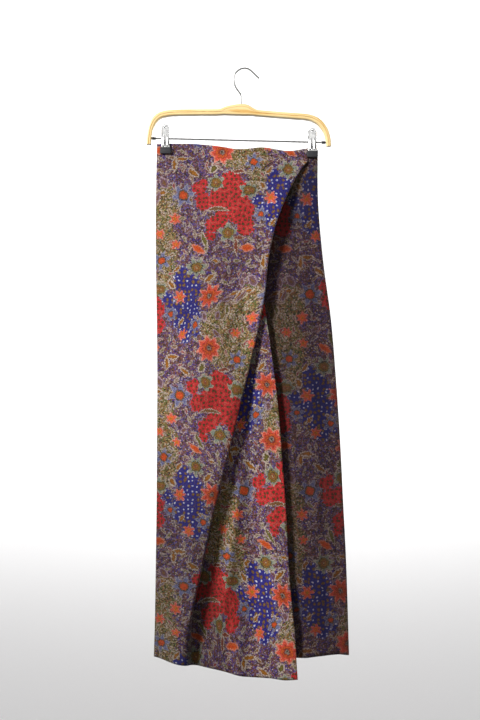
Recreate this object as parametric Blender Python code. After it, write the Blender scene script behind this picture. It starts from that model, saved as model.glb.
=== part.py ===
"""Wrap-front trousers in batik cotton, hanging flat from a clip hanger of bent wood.

Metres, +Z up, the front faces -Y. The origin is the inner top of the hanger's hook, where a rail
carries it. Left and right in the names of the trousers' pieces are the wearer's, so the right leg
is on the viewer's left. On the hanger they are the viewer's.
"""

import math

import bmesh
import bpy
from mathutils import Vector

# Cloth and seams.
WALL = 0.0012                # thickness of one layer of the cotton
SEAM = 0.0003                # gap between sewn pieces and between parts that touch
LEG_FACE = SEAM / 2 + WALL   # outer face of a leg panel, in front of the middle plane, at a seam
WRAP_MIDDLE = LEG_FACE + SEAM + WALL / 2

# Trousers.
RISE = 0.300                 # waist to crotch
WAIST = -0.165               # mean height of the waist edge
CROTCH = WAIST - RISE
CROTCH_EASE = 0.120          # height over which the seat divides into two legs
PINCH = -0.185               # below this height the cloth leaves the jaws and rounds out
PINCH_EASE = 0.120
WAIST_BULGE = 0.0070         # half the hollow of the waist, between the clips
HIP_BULGE = 0.0120
LEG_BULGE = 0.0125
PINCHED = (-0.147, 0.126)    # between the two clips
HEM_PARTING = 0.0050         # half the gap between the two legs at the hem
WRAP_AIR = 0.0042            # how far the wrap hangs in front of the legs, clear of its seams
WRAP_AIR_SIDE = 0.045        # distance from the side seam over which it gets there

# Grid of each cloth piece.
LEG_COLUMNS, LEG_ROWS = 11, 23
WRAP_ROWS = 28
ROW_CROWDING = 1.56          # rows lie closer together near the waist
FOLD_COLUMNS = (14, 6, 3, 6, 11)  # before the fold, first turn, back, second turn, strip
EDGE_SNAP = 0.0012           # a column this close to the free edge lies on it
PANEL_PASSES = 4             # times that a leg point's height and place are brought to agree
WRAP_PASSES = 6


def table(columns, *rows):
    """Rows of a short table as dictionaries, by column name."""
    return [dict(zip(columns.split(), row)) for row in rows]


# Side seams by height.
OUTLINE = table(
    "z        right_seam left_seam",
    (-0.1500, -0.1805, 0.1516),
    (-0.2700, -0.1826, 0.1518),
    (-0.3944, -0.1826, 0.1621),
    (-0.5183, -0.1806, 0.1786),
    (-0.6422, -0.1797, 0.1889),
    (-0.7661, -0.1804, 0.1972),
    (-0.8900, -0.1811, 0.2034),
    (-1.0139, -0.1827, 0.2096),
    (-1.1378, -0.1848, 0.2137),
    (-1.2122, -0.1869, 0.2158),
)

# Waist edge: it sags a little between the clips.
WAIST_EDGE = table(
    "x        z",
    (-0.1810, -0.1548),
    (-0.1100, -0.1552),
    (-0.0600, -0.1600),
    (-0.0100, -0.1672),
    (0.0380, -0.1632),
    (0.0900, -0.1698),
    (0.1300, -0.1645),
    (0.1520, -0.1675),
)

LEG_HEM = table(
    "x        z",
    (-0.1870, -1.2080),
    (0.0000, -1.2095),
    (0.1220, -1.2130),
    (0.1550, -1.2101),
    (0.1900, -1.2080),
    (0.2160, -1.2100),
)

# Hem of the wrap by distance along it from the side seam: it hangs lower towards its free edge,
# because its top is drawn up to one clip.
WRAP_HEM = table(
    "along   z",
    (0.0000, -1.2122),
    (0.0700, -1.2205),
    (0.1100, -1.2277),
    (0.1500, -1.2380),
    (0.1800, -1.2480),
    (0.2050, -1.2530),
    (0.2450, -1.2555),
    (0.2750, -1.2592),
    (0.3025, -1.2565),
)

# The wrap's diagonal drape fold, in level sections. The cloth runs from the side seam to a crest,
# turns back behind itself and turns again to run on to its free edge.
# width: cloth from side seam to free edge; crest: x of the outermost point of the first turn;
# back: straight stretch between the turns; turn: degrees turned; bend: cloth in each turn.
FOLD = table(
    "z        width   crest    back    turn  bend",
    (-0.1549, 0.3125, 0.1410, 0.0120, 180.0, 0.0079),
    (-0.1850, 0.3125, 0.1337, 0.0140, 180.0, 0.0079),
    (-0.2086, 0.3125, 0.1160, 0.0160, 180.0, 0.0079),
    (-0.2395, 0.3125, 0.0985, 0.0280, 180.0, 0.0079),
    (-0.2705, 0.3125, 0.0840, 0.0410, 180.0, 0.0079),
    (-0.3020, 0.3125, 0.0712, 0.0430, 180.0, 0.0079),
    (-0.3325, 0.3125, 0.0613, 0.0420, 180.0, 0.0079),
    (-0.3944, 0.3125, 0.0487, 0.0400, 180.0, 0.0079),
    (-0.4770, 0.3125, 0.0400, 0.0378, 178.0, 0.0080),
    (-0.5699, 0.3125, 0.0208, 0.0320, 176.0, 0.0080),
    (-0.6938, 0.3125, -0.0090, 0.0246, 172.0, 0.0080),
    (-0.7868, 0.3125, -0.0318, 0.0210, 168.0, 0.0080),
    (-0.9107, 0.3125, -0.0630, 0.0159, 160.0, 0.0090),
    (-1.0139, 0.3125, -0.0840, 0.0119, 150.0, 0.0110),
    (-1.0965, 0.3095, -0.1020, 0.0084, 125.0, 0.0130),
    (-1.1500, 0.3065, -0.1090, 0.0062, 90.0, 0.0180),
    (-1.2600, 0.3025, -0.1150, 0.0050, 50.0, 0.0200),
)

# Softer folds of the wrap. layer: over is the cloth before the crest, strip is the cloth beyond
# the fold; height: how far it stands towards the viewer; spread: half its width.
SOFT_FOLDS = table(
    "layer    top_x    top_z    end_x    end_z    spread  height",
    ("strip", 0.0030, -0.7650, -0.0520, -1.1900, 0.0110, 0.0060),
    ("strip", 0.0330, -0.6400, 0.0790, -1.2400, 0.0150, 0.0050),
    ("strip", 0.0120, -0.8000, 0.0250, -1.1500, 0.0100, -0.0025),
    ("strip", -0.0220, -1.0700, -0.0050, -1.3000, 0.0130, 0.0050),
    ("over", 0.0114, -0.4200, -0.0609, -0.6000, 0.0080, 0.0028),
    ("over", -0.1000, -0.7000, -0.1300, -1.1600, 0.0200, 0.0040),
)

# Hanger arm: centre line from the left tip to the right tip, with its height across the strip.
# In the middle the laminations part round a solid hump.
ARM_DEPTH = 0.0160
ARM_ROUNDING = 0.0026
CORNER_STEPS = 2             # faces round each edge of the arm
ARM_CENTRE = table(
    "x        z        height",
    (-0.1972, -0.1559, 0.0098),
    (-0.1966, -0.1425, 0.0103),
    (-0.1941, -0.1260, 0.0108),
    (-0.1900, -0.1136, 0.0112),
    (-0.1838, -0.1039, 0.0115),
    (-0.1745, -0.0966, 0.0118),
    (-0.1621, -0.0929, 0.0118),
    (-0.1415, -0.0909, 0.0118),
    (-0.0919, -0.0902, 0.0118),
    (-0.0589, -0.0900, 0.0118),
    (-0.0465, -0.0888, 0.0128),
    (-0.0382, -0.0869, 0.0166),
    (-0.0299, -0.0859, 0.0190),
    (-0.0176, -0.0849, 0.0218),
    (-0.0072, -0.0847, 0.0226),
    (0.0031, -0.0853, 0.0222),
    (0.0114, -0.0876, 0.0180),
    (0.0196, -0.0897, 0.0142),
    (0.0279, -0.0917, 0.0122),
    (0.0527, -0.0938, 0.0118),
    (0.0940, -0.0970, 0.0118),
    (0.1229, -0.0991, 0.0118),
    (0.1373, -0.1018, 0.0118),
    (0.1497, -0.1074, 0.0118),
    (0.1590, -0.1156, 0.0115),
    (0.1673, -0.1280, 0.0110),
    (0.1720, -0.1425, 0.0104),
    (0.1741, -0.1600, 0.0098),
)

# Hook: centre line of the wire, from its tip over the seat and down into the arm.
WIRE = 0.0017                # radius of the hook's wire
HOOK_TIP = 0.0024            # radius of the bead at its tip
STEM_X = -0.0068
STEM_END = -0.0862
STEM_HOLE = 0.0300           # the hole for the stem runs from its end past the top of the arm
HOOK_CENTRE = table(
    "x        z",
    (0.0285, -0.0178),
    (0.0232, -0.0128),
    (0.0180, -0.0076),
    (0.0128, -0.0030),
    (0.0068, 0.0006),
    (0.0004, 0.0017),
    (-0.0066, 0.0006),
    (-0.0132, -0.0030),
    (-0.0186, -0.0090),
    (-0.0213, -0.0165),
    (-0.0217, -0.0240),
    (-0.0203, -0.0315),
    (-0.0172, -0.0388),
    (-0.0128, -0.0455),
    (-0.0088, -0.0510),
    (STEM_X, -0.0570),
    (STEM_X, -0.0640),
    (STEM_X, -0.0720),
    (STEM_X, STEM_END),
)

# Swelling of the wire at its tip. along: distance from the first point of the centre line;
# size: radius beside that of the bead.
HOOK_BEAD = table(
    "along    size",
    (-0.0022, 0.45),
    (-0.0016, 0.80),
    (-0.0004, 1.00),
    (0.0008, 0.90),
    (0.0016, 0.72),
)

# Rod with a black cap against each end of the arm.
ROD = 0.00165
ROD_LEFT = Vector((-0.1960, 0.0, -0.1430))
ROD_RIGHT = Vector((0.1725, 0.0, -0.1519))
CLEAR = 0.0003               # clearance of a hole round its rod or stem
CAP = 0.0029
CAP_LENGTH = 0.0075
CAP_STARTS = table(
    "name            from_end",
    ("rod_cap_left", 0.0054),
    ("rod_cap_right", 0.0055),
)

# Clips: two stamped leaves that pivot on the rod, with a spring between and rubber boots on the
# jaws. Heights are measured from the rod.
CLIPS = table(
    "side     x",
    ("left", -0.1627),
    ("right", 0.1400),
)
LEAF = 0.0010
LEAF_EYE = 0.0024            # radius of the hole near the top
LEAF_EYE_HEIGHT = 0.0228
EYE_REACH = 0.0200           # from the middle plane out past a leaf
RIB_HEIGHT = 0.0007
BOOT_WIDTH = 0.0225
BOOT_HEIGHT = 0.0128
BOOT_TOP = -0.0190
BOOT_INNER = 0.0029          # rubber between leaf and cloth
BOOT_OUTER = 0.0014
BOOT_SLOT = 0.0086
BOOT_ROUNDING = 0.0009
SPRING = 0.0038
SPRING_LENGTH = 0.0110
# half: half the leaf's width; jaw: 1 where the leaf stands as far from the middle plane as at the
# jaw, 0 where it stands as far as at the rod; flare: extra opening of the handle.
LEAF_SHAPE = table(
    "z        half    jaw   flare",
    (0.0271, 0.0048, 0.00, 0.0042),
    (0.0256, 0.0070, 0.00, 0.0039),
    (0.0225, 0.0079, 0.00, 0.0034),
    (0.0120, 0.0081, 0.00, 0.0016),
    (0.0030, 0.0083, 0.00, 0.0002),
    (-0.0060, 0.0086, 0.20, 0.0000),
    (-0.0130, 0.0088, 0.75, 0.0000),
    (-0.0186, 0.0088, 1.00, 0.0000),
    (-0.0272, 0.0085, 1.00, 0.0000),
)
LEAF_AT_ROD = 0.0048
WIRE_SIDES, BAR_SIDES, CAP_SIDES = 12, 14, 16
RIBBED = (-0.0160, 0.0060)   # heights between which the ribs stand
LEAF_ACROSS = table(
    "across  rib",
    (-1.00, 0.0),
    (-0.66, 0.0),
    (-0.54, 1.0),
    (-0.36, 1.0),
    (-0.24, 0.0),
    (0.24, 0.0),
    (0.36, 1.0),
    (0.54, 1.0),
    (0.66, 0.0),
    (1.00, 0.0),
)


def smooth(value):
    """Ease from 0 to 1, level at both ends."""
    t = min(max(value, 0.0), 1.0)
    return t * t * (3 - 2 * t)


def read(rows, key, name, at):
    """Column `name` of a table at the value `at` of its column `key`, as a smooth curve."""
    ordered = sorted(rows, key=lambda row: row[key])
    if at <= ordered[0][key]:
        return ordered[0][name]
    if at >= ordered[-1][key]:
        return ordered[-1][name]
    i = max(n for n, row in enumerate(ordered[:-1]) if row[key] <= at)

    def slope(n):
        lo, hi = ordered[max(n - 1, 0)], ordered[min(n + 1, len(ordered) - 1)]
        return (hi[name] - lo[name]) / (hi[key] - lo[key])

    low, high = ordered[i], ordered[i + 1]
    span = high[key] - low[key]
    t = (at - low[key]) / span
    start = low[name] * (2 * t**3 - 3 * t**2 + 1) + slope(i) * span * (t**3 - 2 * t**2 + t)
    return start + high[name] * (3 * t**2 - 2 * t**3) + slope(i + 1) * span * (t**3 - t**2)


def smooth_path(rows, steps):
    """Points of a table's rows, joined by a smooth curve with `steps` points to each row."""
    names = list(rows[0])
    points = []
    for i in range(len(rows) - 1):
        around = [rows[max(i - 1, 0)], rows[i], rows[i + 1], rows[min(i + 2, len(rows) - 1)]]
        for k in range(steps):
            t = k / steps
            point = {}
            for name in names:
                a, b, c, d = (row[name] for row in around)
                bend = (c - a) * t + (2 * a - 5 * b + 4 * c - d) * t**2
                point[name] = b + 0.5 * (bend + (3 * b - a - 3 * c + d) * t**3)
            points.append(point)
    points.append(dict(rows[-1]))
    return points


def material(name, colour, roughness, metallic=0.0):
    """A plain Principled material."""
    made = bpy.data.materials.new(name)
    made.use_nodes = True
    shader = made.node_tree.nodes["Principled BSDF"]
    shader.inputs["Base Color"].default_value = (*colour, 1.0)
    shader.inputs["Roughness"].default_value = roughness
    shader.inputs["Metallic"].default_value = metallic
    return made


def add_object(name, mesh, finish, sharp=35.0):
    """Link a mesh as a named object, shaded smooth but for its sharp edges."""
    mesh.materials.append(finish)
    mesh.shade_smooth()
    mesh.set_sharp_from_angle(angle=math.radians(sharp))
    made = bpy.data.objects.new(name, mesh)
    bpy.context.collection.objects.link(made)
    return made


def mesh_from(name, bm):
    """Turn a bmesh into a mesh with its faces pointing out."""
    bmesh.ops.recalc_face_normals(bm, faces=bm.faces)
    mesh = bpy.data.meshes.new(name)
    bm.to_mesh(mesh)
    bm.free()
    return mesh


def add_sheet(bm, grid):
    """Faces over a grid of points, row by row."""
    rows = [[bm.verts.new(point) for point in row] for row in grid]
    faces = []
    for upper, lower in zip(rows, rows[1:]):
        for i in range(len(upper) - 1):
            faces.append(bm.faces.new((upper[i], lower[i], lower[i + 1], upper[i + 1])))
    return faces


def slab(name, grid, depth, finish):
    """A sheet made solid straight back, by `depth` along Y."""
    bm = bmesh.new()
    faces = add_sheet(bm, grid)
    grown = bmesh.ops.extrude_face_region(bm, geom=faces, use_keep_orig=True)
    moved = [item for item in grown["geom"] if isinstance(item, bmesh.types.BMVert)]
    bmesh.ops.translate(bm, verts=moved, vec=(0.0, depth, 0.0))
    return add_object(name, mesh_from(name, bm), finish)


def cut(target, cutter):
    """Take a cutter's shape out of an object, and keep the cutter out of the part."""
    cutter.hide_render = True
    cutter.display_type = "WIRE"
    difference = target.modifiers.new("Cut " + cutter.name, "BOOLEAN")
    difference.operation = "DIFFERENCE"
    difference.object = cutter


def cylinder(name, start, end, radius, sides, finish, bore=0.0):
    """A round bar between two points, or a tube where it has a bore."""
    axis = end - start
    turn = axis.to_track_quat("Z", "Y").to_matrix().to_4x4()
    turn.translation = start
    bm = bmesh.new()
    circle = []
    for k in range(sides):
        angle = math.tau * k / sides
        circle.append(Vector((math.cos(angle), math.sin(angle), 0.0)))
    rings = []
    for size, height in ((radius, 0.0), (radius, axis.length), (bore, axis.length), (bore, 0.0)):
        if size:
            lift = Vector((0.0, 0.0, height))
            rings.append([bm.verts.new(turn @ (point * size + lift)) for point in circle])
    loops = list(zip(rings, rings[1:] + rings[:1])) if bore else [(rings[0], rings[1])]
    for low, high in loops:
        for k in range(sides):
            j = (k + 1) % sides
            bm.faces.new((low[k], low[j], high[j], high[k]))
    if not bore:
        bm.faces.new(rings[0])
        bm.faces.new(rings[1])
    return add_object(name, mesh_from(name, bm), finish)


def seams(z):
    """x of the two side seams at a height."""
    return read(OUTLINE, "z", "right_seam", z), read(OUTLINE, "z", "left_seam", z)


def centre_x(z):
    """x of the centre seam, and of the gap between the legs below it."""
    return sum(seams(z)) / 2


def leg_gap(z):
    """Half the gap between the two legs."""
    below = (CROTCH - z) / (CROTCH - LEG_HEM[0]["z"])
    return SEAM / 2 + HEM_PARTING * min(max(below, 0.0), 1.0)


def bulge(x, z):
    """Half the hollow between the front and the back of the trousers."""
    low, high = seams(z)
    middle = centre_x(z)
    across = min(max((x - low) / (high - low), 0.0), 1.0)
    hip = HIP_BULGE * math.sin(math.pi * across)
    from_clip = (x - PINCHED[0]) / (PINCHED[1] - PINCHED[0])
    waist = WAIST_BULGE * math.sin(math.pi * min(max(from_clip, 0.0), 1.0)) ** 2
    upper = waist + (hip - waist) * smooth((PINCH - z) / PINCH_EASE)
    inner = leg_gap(z)
    if x < middle:
        across_leg = (x - low) / (middle - inner - low)
    else:
        across_leg = (high - x) / (high - middle - inner)
    leg = LEG_BULGE * math.sin(math.pi * min(max(across_leg, 0.0), 1.0))
    return upper + (leg - upper) * smooth((CROTCH + CROTCH_EASE - z) / CROTCH_EASE)


def row_height(j, rows, x, hem):
    """Height of a row of a panel. The second row runs along the foot of the jaws."""
    if j == 0:
        return read(WAIST_EDGE, "x", "z", x)
    return PINCH + (hem - PINCH) * ((j - 1) / (rows - 1)) ** ROW_CROWDING


def add_leg_panel(name, finish, wearer_side, front):
    """One panel of a leg, from waist to hem and from its side seam to the centre."""
    grid = []
    for j in range(LEG_ROWS + 1):
        row = []
        for i in range(LEG_COLUMNS + 1):
            across = i / LEG_COLUMNS
            x = 0.0
            for _ in range(PANEL_PASSES):
                z = row_height(j, LEG_ROWS, x, read(LEG_HEM, "x", "z", x))
                low, high = seams(z)
                if wearer_side == "right":
                    x = low + (centre_x(z) - leg_gap(z) - low) * across
                else:
                    x = centre_x(z) + leg_gap(z) + (high - centre_x(z) - leg_gap(z)) * across
            out = bulge(x, z)
            y = -LEG_FACE - out if front else LEG_FACE - WALL + out
            row.append(Vector((x, y, z)))
        grid.append(row)
    return slab(name, grid, WALL, finish)


def fold_at(z):
    """The fold's sizes at a height, with the place where its first turn starts."""
    fold = {name: read(FOLD, "z", name, z) for name in ("width", "crest", "back", "turn", "bend")}
    fold["turn"] = math.radians(fold["turn"])
    crest_reach = fold["bend"] / fold["turn"] * math.sin(min(fold["turn"], math.pi / 2))
    fold["start"] = fold["crest"] - seams(z)[0] - crest_reach
    return fold


def walk(along, fold):
    """How far the cloth has gone sideways and back, at a distance along it."""
    start, bend, back, turn = (fold[name] for name in ("start", "bend", "back", "turn"))
    radius = bend / turn
    left = along - start
    if left <= 0:
        return along, 0.0
    angle = turn * min(left / bend, 1.0)
    x = start + radius * math.sin(angle)
    y = radius * (1 - math.cos(angle))
    left -= bend
    if left > 0:
        straight = min(left, back)
        x += straight * math.cos(turn)
        y += straight * math.sin(turn)
        left -= back
    if left > 0:
        angle = turn * (1 - min(left / bend, 1.0))
        x += radius * (math.sin(turn) - math.sin(angle))
        y += radius * (math.cos(angle) - math.cos(turn))
        left -= bend
    return x + max(left, 0.0), y


def soft_fold(x, z, layer):
    """How far the softer folds bring a layer of the wrap forward."""
    forward = 0.0
    for fold in SOFT_FOLDS:
        down = (fold["top_z"] - z) / (fold["top_z"] - fold["end_z"])
        if fold["layer"] != layer or not 0.0 < down < 1.0:
            continue
        middle = fold["top_x"] + (fold["end_x"] - fold["top_x"]) * down
        across = (x - middle) / fold["spread"]
        forward += fold["height"] * math.sin(math.pi * down) * math.exp(-across * across)
    return forward


def wrap_point(along, z):
    """A point in the middle of the wrap's cloth: distance from the side seam, and height."""
    fold = fold_at(z)
    side = seams(z)[0]
    step, back = walk(along, fold)
    x = side + step
    depth = walk(fold["width"], fold)[1]
    air = WRAP_AIR * smooth((x - side) / WRAP_AIR_SIDE) * smooth((PINCH - z) / PINCH_EASE)
    forward = depth * smooth(along / fold["start"]) - back
    turned = fold["start"] + 2 * fold["bend"] + fold["back"]
    over = 1 - smooth((along - fold["start"] + fold["bend"]) / fold["bend"])
    strip = smooth((along - turned) / fold["bend"])
    forward += soft_fold(x, z, "over") * over + soft_fold(x, z, "strip") * strip
    return Vector((x, -WRAP_MIDDLE - bulge(x, z) - air - forward, z))


def wrap_columns(z):
    """Distances along the wrap of its columns. They keep their places in the fold, and those past
    the free edge lie on it, where the fold starts as a cone below the clip."""
    fold = fold_at(z)
    ends = [0.0, min(fold["start"], fold["width"])]
    for name in ("bend", "back", "bend"):
        ends.append(ends[-1] + fold[name])
    ends.append(max(fold["width"], ends[-1]))
    places = [0.0]
    for low, high, count in zip(ends, ends[1:], FOLD_COLUMNS):
        for i in range(1, count + 1):
            place = low + (high - low) * i / count
            near = fold["width"] - place < EDGE_SNAP
            places.append(fold["width"] if near else place)
    return places


def wrap_grid(rows):
    """Points of the wrap, row by row from its waist to its hem."""
    grid = []
    for j in range(rows + 1):
        row = []
        for i in range(sum(FOLD_COLUMNS) + 1):
            z = row_height(j, rows, 0.0, WRAP_HEM[0]["z"])
            for _ in range(WRAP_PASSES):
                along = wrap_columns(z)[i]
                hem = read(WRAP_HEM, "along", "z", along)
                z = row_height(j, rows, wrap_point(along, z).x, hem)
            row.append(wrap_point(wrap_columns(z)[i], z))
        grid.append(row)
    return grid


def add_wrap(finish):
    """The front wrap: one sheet, thickened both ways from its middle."""
    bm = bmesh.new()
    add_sheet(bm, wrap_grid(WRAP_ROWS))
    bmesh.ops.remove_doubles(bm, verts=bm.verts, dist=1e-6)
    mesh = bpy.data.meshes.new("wrap_panel")
    bm.to_mesh(mesh)
    bm.free()
    wrap = add_object("wrap_panel", mesh, finish)
    wall = wrap.modifiers.new("Cloth", "SOLIDIFY")
    wall.thickness = WALL
    wall.offset = 0.0
    return wrap


def add_arm(finish):
    """The bent arm: a rounded strip along its centre line."""
    half_depth = ARM_DEPTH / 2
    path = smooth_path(ARM_CENTRE, 2)
    bm = bmesh.new()
    rings = []
    for i, point in enumerate(path):
        before, after = path[max(i - 1, 0)], path[min(i + 1, len(path) - 1)]
        along = Vector((after["x"] - before["x"], 0.0, after["z"] - before["z"])).normalized()
        across = Vector((-along.z, 0.0, along.x))
        centre = Vector((point["x"], 0.0, point["z"]))
        ring = []
        for quarter, (sign_y, sign_n) in enumerate(((1, 1), (-1, 1), (-1, -1), (1, -1))):
            corner_y = sign_y * (half_depth - ARM_ROUNDING)
            corner_n = sign_n * (point["height"] / 2 - ARM_ROUNDING)
            for k in range(CORNER_STEPS + 1):
                angle = math.pi / 2 * (quarter + k / CORNER_STEPS)
                y = corner_y + ARM_ROUNDING * math.cos(angle)
                n = corner_n + ARM_ROUNDING * math.sin(angle)
                ring.append(bm.verts.new(centre + across * n + Vector((0.0, y, 0.0))))
        rings.append(ring)
    for low, high in zip(rings, rings[1:]):
        for k in range(len(low)):
            j = (k + 1) % len(low)
            bm.faces.new((low[k], low[j], high[j], high[k]))
    bm.faces.new(rings[0])
    bm.faces.new(rings[-1])
    return add_object("hanger_arm", mesh_from("hanger_arm", bm), finish)


def add_hook(finish):
    """The wire hook: a bevelled curve that swells to a bead at its tip."""
    path = smooth_path(HOOK_CENTRE, 3)
    curve = bpy.data.curves.new("hanger_hook", "CURVE")
    curve.dimensions = "3D"
    curve.bevel_depth = WIRE
    curve.bevel_resolution = 3
    curve.use_fill_caps = True
    spline = curve.splines.new("POLY")
    tip = Vector((path[0]["x"], 0.0, path[0]["z"]))
    inward = (Vector((path[1]["x"], 0.0, path[1]["z"])) - tip).normalized()
    swell = HOOK_TIP / WIRE
    points = [(tip + inward * bead["along"], bead["size"] * swell) for bead in HOOK_BEAD]
    points += [(Vector((point["x"], 0.0, point["z"])), 1.0) for point in path[2:]]
    spline.points.add(len(points) - 1)
    for target, (place, size) in zip(spline.points, points):
        target.co = (*place, 1.0)
        target.radius = size
    curve.materials.append(finish)
    made = bpy.data.objects.new("hanger_hook", curve)
    bpy.context.collection.objects.link(made)
    return made


def add_clip(clip, steel, rubber):
    """One clip: two leaves, two boots and the spring on the rod."""
    slope = (ROD_RIGHT.z - ROD_LEFT.z) / (ROD_RIGHT.x - ROD_LEFT.x)
    rod_z = ROD_LEFT.z + slope * (clip["x"] - ROD_LEFT.x)
    faces = {"front": WRAP_MIDDLE + WALL / 2, "back": LEG_FACE}
    for face, sign in (("front", -1), ("back", 1)):
        cloth = faces[face] + SEAM
        jaw = cloth + BOOT_INNER + LEAF / 2
        grid = []
        for row in smooth_path(LEAF_SHAPE, 1):
            ribbed = RIBBED[0] < row["z"] < RIBBED[1]
            line = []
            for column in LEAF_ACROSS:
                stand = LEAF_AT_ROD + (jaw - LEAF_AT_ROD) * row["jaw"] + row["flare"]
                stand += RIB_HEIGHT * column["rib"] * ribbed - LEAF / 2
                y = sign * stand if sign > 0 else -stand - LEAF
                line.append(Vector((clip["x"] + row["half"] * column["across"], y, rod_z + row["z"])))
            grid.append(line)
        leaf = slab(f"clip_{clip['side']}_{face}_leaf", grid, LEAF, steel)
        eye_at = Vector((clip["x"], 0.0, rod_z + LEAF_EYE_HEIGHT))
        reach = Vector((0.0, EYE_REACH * sign, 0.0))
        eye = cylinder(f"eye_{clip['side']}_{face}", eye_at, eye_at + reach, LEAF_EYE, BAR_SIDES, steel)
        cut(leaf, eye)
        add_boot(clip, face, sign, cloth, rod_z, rubber)
    half = Vector((SPRING_LENGTH / 2, 0.0, slope * SPRING_LENGTH / 2))
    middle = Vector((clip["x"], 0.0, rod_z))
    name = f"clip_{clip['side']}_spring"
    cylinder(name, middle - half, middle + half, SPRING, BAR_SIDES, steel, bore=ROD + CLEAR)


def add_box(name, low, high, finish, rounding=0.0):
    """A box between two corners, with its edges bevelled."""
    bm = bmesh.new()
    bmesh.ops.create_cube(bm, size=1.0)
    size = high - low
    bmesh.ops.scale(bm, vec=size, verts=bm.verts)
    bmesh.ops.translate(bm, vec=(low + high) / 2, verts=bm.verts)
    if rounding:
        bmesh.ops.bevel(bm, geom=bm.edges, offset=rounding, segments=2, profile=0.5,
                        affect="EDGES")
    return add_object(name, mesh_from(name, bm), finish)


def add_boot(clip, face, sign, cloth, rod_z, rubber):
    """The rubber boot of one jaw, with the slot that its leaf sits in."""
    thickness = BOOT_INNER + LEAF + SEAM + BOOT_OUTER
    near, far = sorted((sign * cloth, sign * (cloth + thickness)))
    top = rod_z + BOOT_TOP
    low = Vector((clip["x"] - BOOT_WIDTH / 2, near, top - BOOT_HEIGHT))
    high = Vector((clip["x"] + BOOT_WIDTH / 2, far, top))
    boot = add_box(f"clip_{clip['side']}_{face}_boot", low, high, rubber, BOOT_ROUNDING)
    leaf = sign * (cloth + BOOT_INNER + LEAF / 2)
    half = LEAF / 2 + CLEAR
    wide = LEAF_SHAPE[-2]["half"] + CLEAR
    slot_low = Vector((clip["x"] - wide, leaf - half, top - BOOT_SLOT))
    slot_high = Vector((clip["x"] + wide, leaf + half, top + BOOT_SLOT))
    cut(boot, add_box(f"slot_{clip['side']}_{face}", slot_low, slot_high, rubber))


def add_hanger(wood, steel, rubber):
    """Arm, hook, rod with its caps, and both clips."""
    arm = add_arm(wood)
    add_hook(steel)
    rod_axis = (ROD_RIGHT - ROD_LEFT).normalized()
    cylinder("hanger_rod", ROD_LEFT, ROD_RIGHT, ROD, WIRE_SIDES, steel)
    for cap, end, way in zip(CAP_STARTS, (ROD_LEFT, ROD_RIGHT), (1, -1)):
        start = end + rod_axis * way * cap["from_end"]
        cap_end = start + rod_axis * way * CAP_LENGTH
        cylinder(cap["name"], start, cap_end, CAP, CAP_SIDES, rubber, bore=ROD + CLEAR)
    stem_top = Vector((STEM_X, 0.0, STEM_END + STEM_HOLE))
    stem_foot = Vector((STEM_X, 0.0, STEM_END - CLEAR))
    cut(arm, cylinder("stem_hole", stem_foot, stem_top, WIRE + CLEAR, CAP_SIDES, wood))
    for name, end, way in (("rod_hole_left", ROD_LEFT, 1), ("rod_hole_right", ROD_RIGHT, -1)):
        foot = end - rod_axis * way * CLEAR
        mouth = end + rod_axis * way * CAP_LENGTH
        cut(arm, cylinder(name, foot, mouth, ROD + CLEAR, BAR_SIDES, wood))
    for clip in CLIPS:
        add_clip(clip, steel, rubber)


def build():
    """Model the whole part."""
    for old in list(bpy.data.objects):
        bpy.data.objects.remove(old, do_unlink=True)
    batik = material("Batik cotton", (0.16, 0.08, 0.09), 0.80)
    wood = material("Bent laminated wood", (0.80, 0.50, 0.20), 0.45)
    steel = material("Plated steel", (0.62, 0.62, 0.63), 0.25, 1.0)
    rubber = material("Black rubber", (0.02, 0.02, 0.025), 0.60)
    for side in ("right", "left"):
        add_leg_panel(f"{side}_leg_front", batik, side, True)
        add_leg_panel(f"{side}_leg_back", batik, side, False)
    add_wrap(batik)
    add_hanger(wood, steel, rubber)


build()
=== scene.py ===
"""Wrap-front trousers in batik cotton on a clip hanger of bent wood, dressed over the CAD model.

Metres, +Z up, the front faces -Y. Left and right in the names of the trousers' pieces are the
wearer's, so the right leg is on the viewer's left. On the hanger they are the viewer's.
"""

import math

import bmesh
import bpy
import numpy as np
from bpy.props import FloatProperty, FloatVectorProperty, PointerProperty
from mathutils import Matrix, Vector


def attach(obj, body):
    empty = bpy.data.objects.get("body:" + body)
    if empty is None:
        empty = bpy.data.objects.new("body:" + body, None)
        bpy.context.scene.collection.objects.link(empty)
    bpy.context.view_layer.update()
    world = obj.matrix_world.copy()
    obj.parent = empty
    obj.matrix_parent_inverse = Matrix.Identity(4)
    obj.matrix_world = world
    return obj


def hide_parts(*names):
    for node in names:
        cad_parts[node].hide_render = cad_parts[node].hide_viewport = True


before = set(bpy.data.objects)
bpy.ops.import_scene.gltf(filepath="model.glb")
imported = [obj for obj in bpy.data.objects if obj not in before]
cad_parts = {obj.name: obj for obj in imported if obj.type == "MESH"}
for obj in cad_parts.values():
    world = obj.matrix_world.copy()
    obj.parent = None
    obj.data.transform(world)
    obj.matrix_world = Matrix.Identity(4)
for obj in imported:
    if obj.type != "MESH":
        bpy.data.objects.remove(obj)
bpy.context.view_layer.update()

bl_info = {
    "name": "Wrap Pants on a Clip Hanger",
    "version": (1, 0, 0),
    "blender": (4, 5, 0),
    "location": "View3D > Sidebar > Wrap Pants",
    "description": "Builds batik wrap-front trousers hanging from a bent wood clip hanger",
    "category": "Add Mesh",
}


def table(columns, *rows):
    """Rows of a short table as dictionaries, by column name."""
    return [dict(zip(columns.split(), row)) for row in rows]


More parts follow.
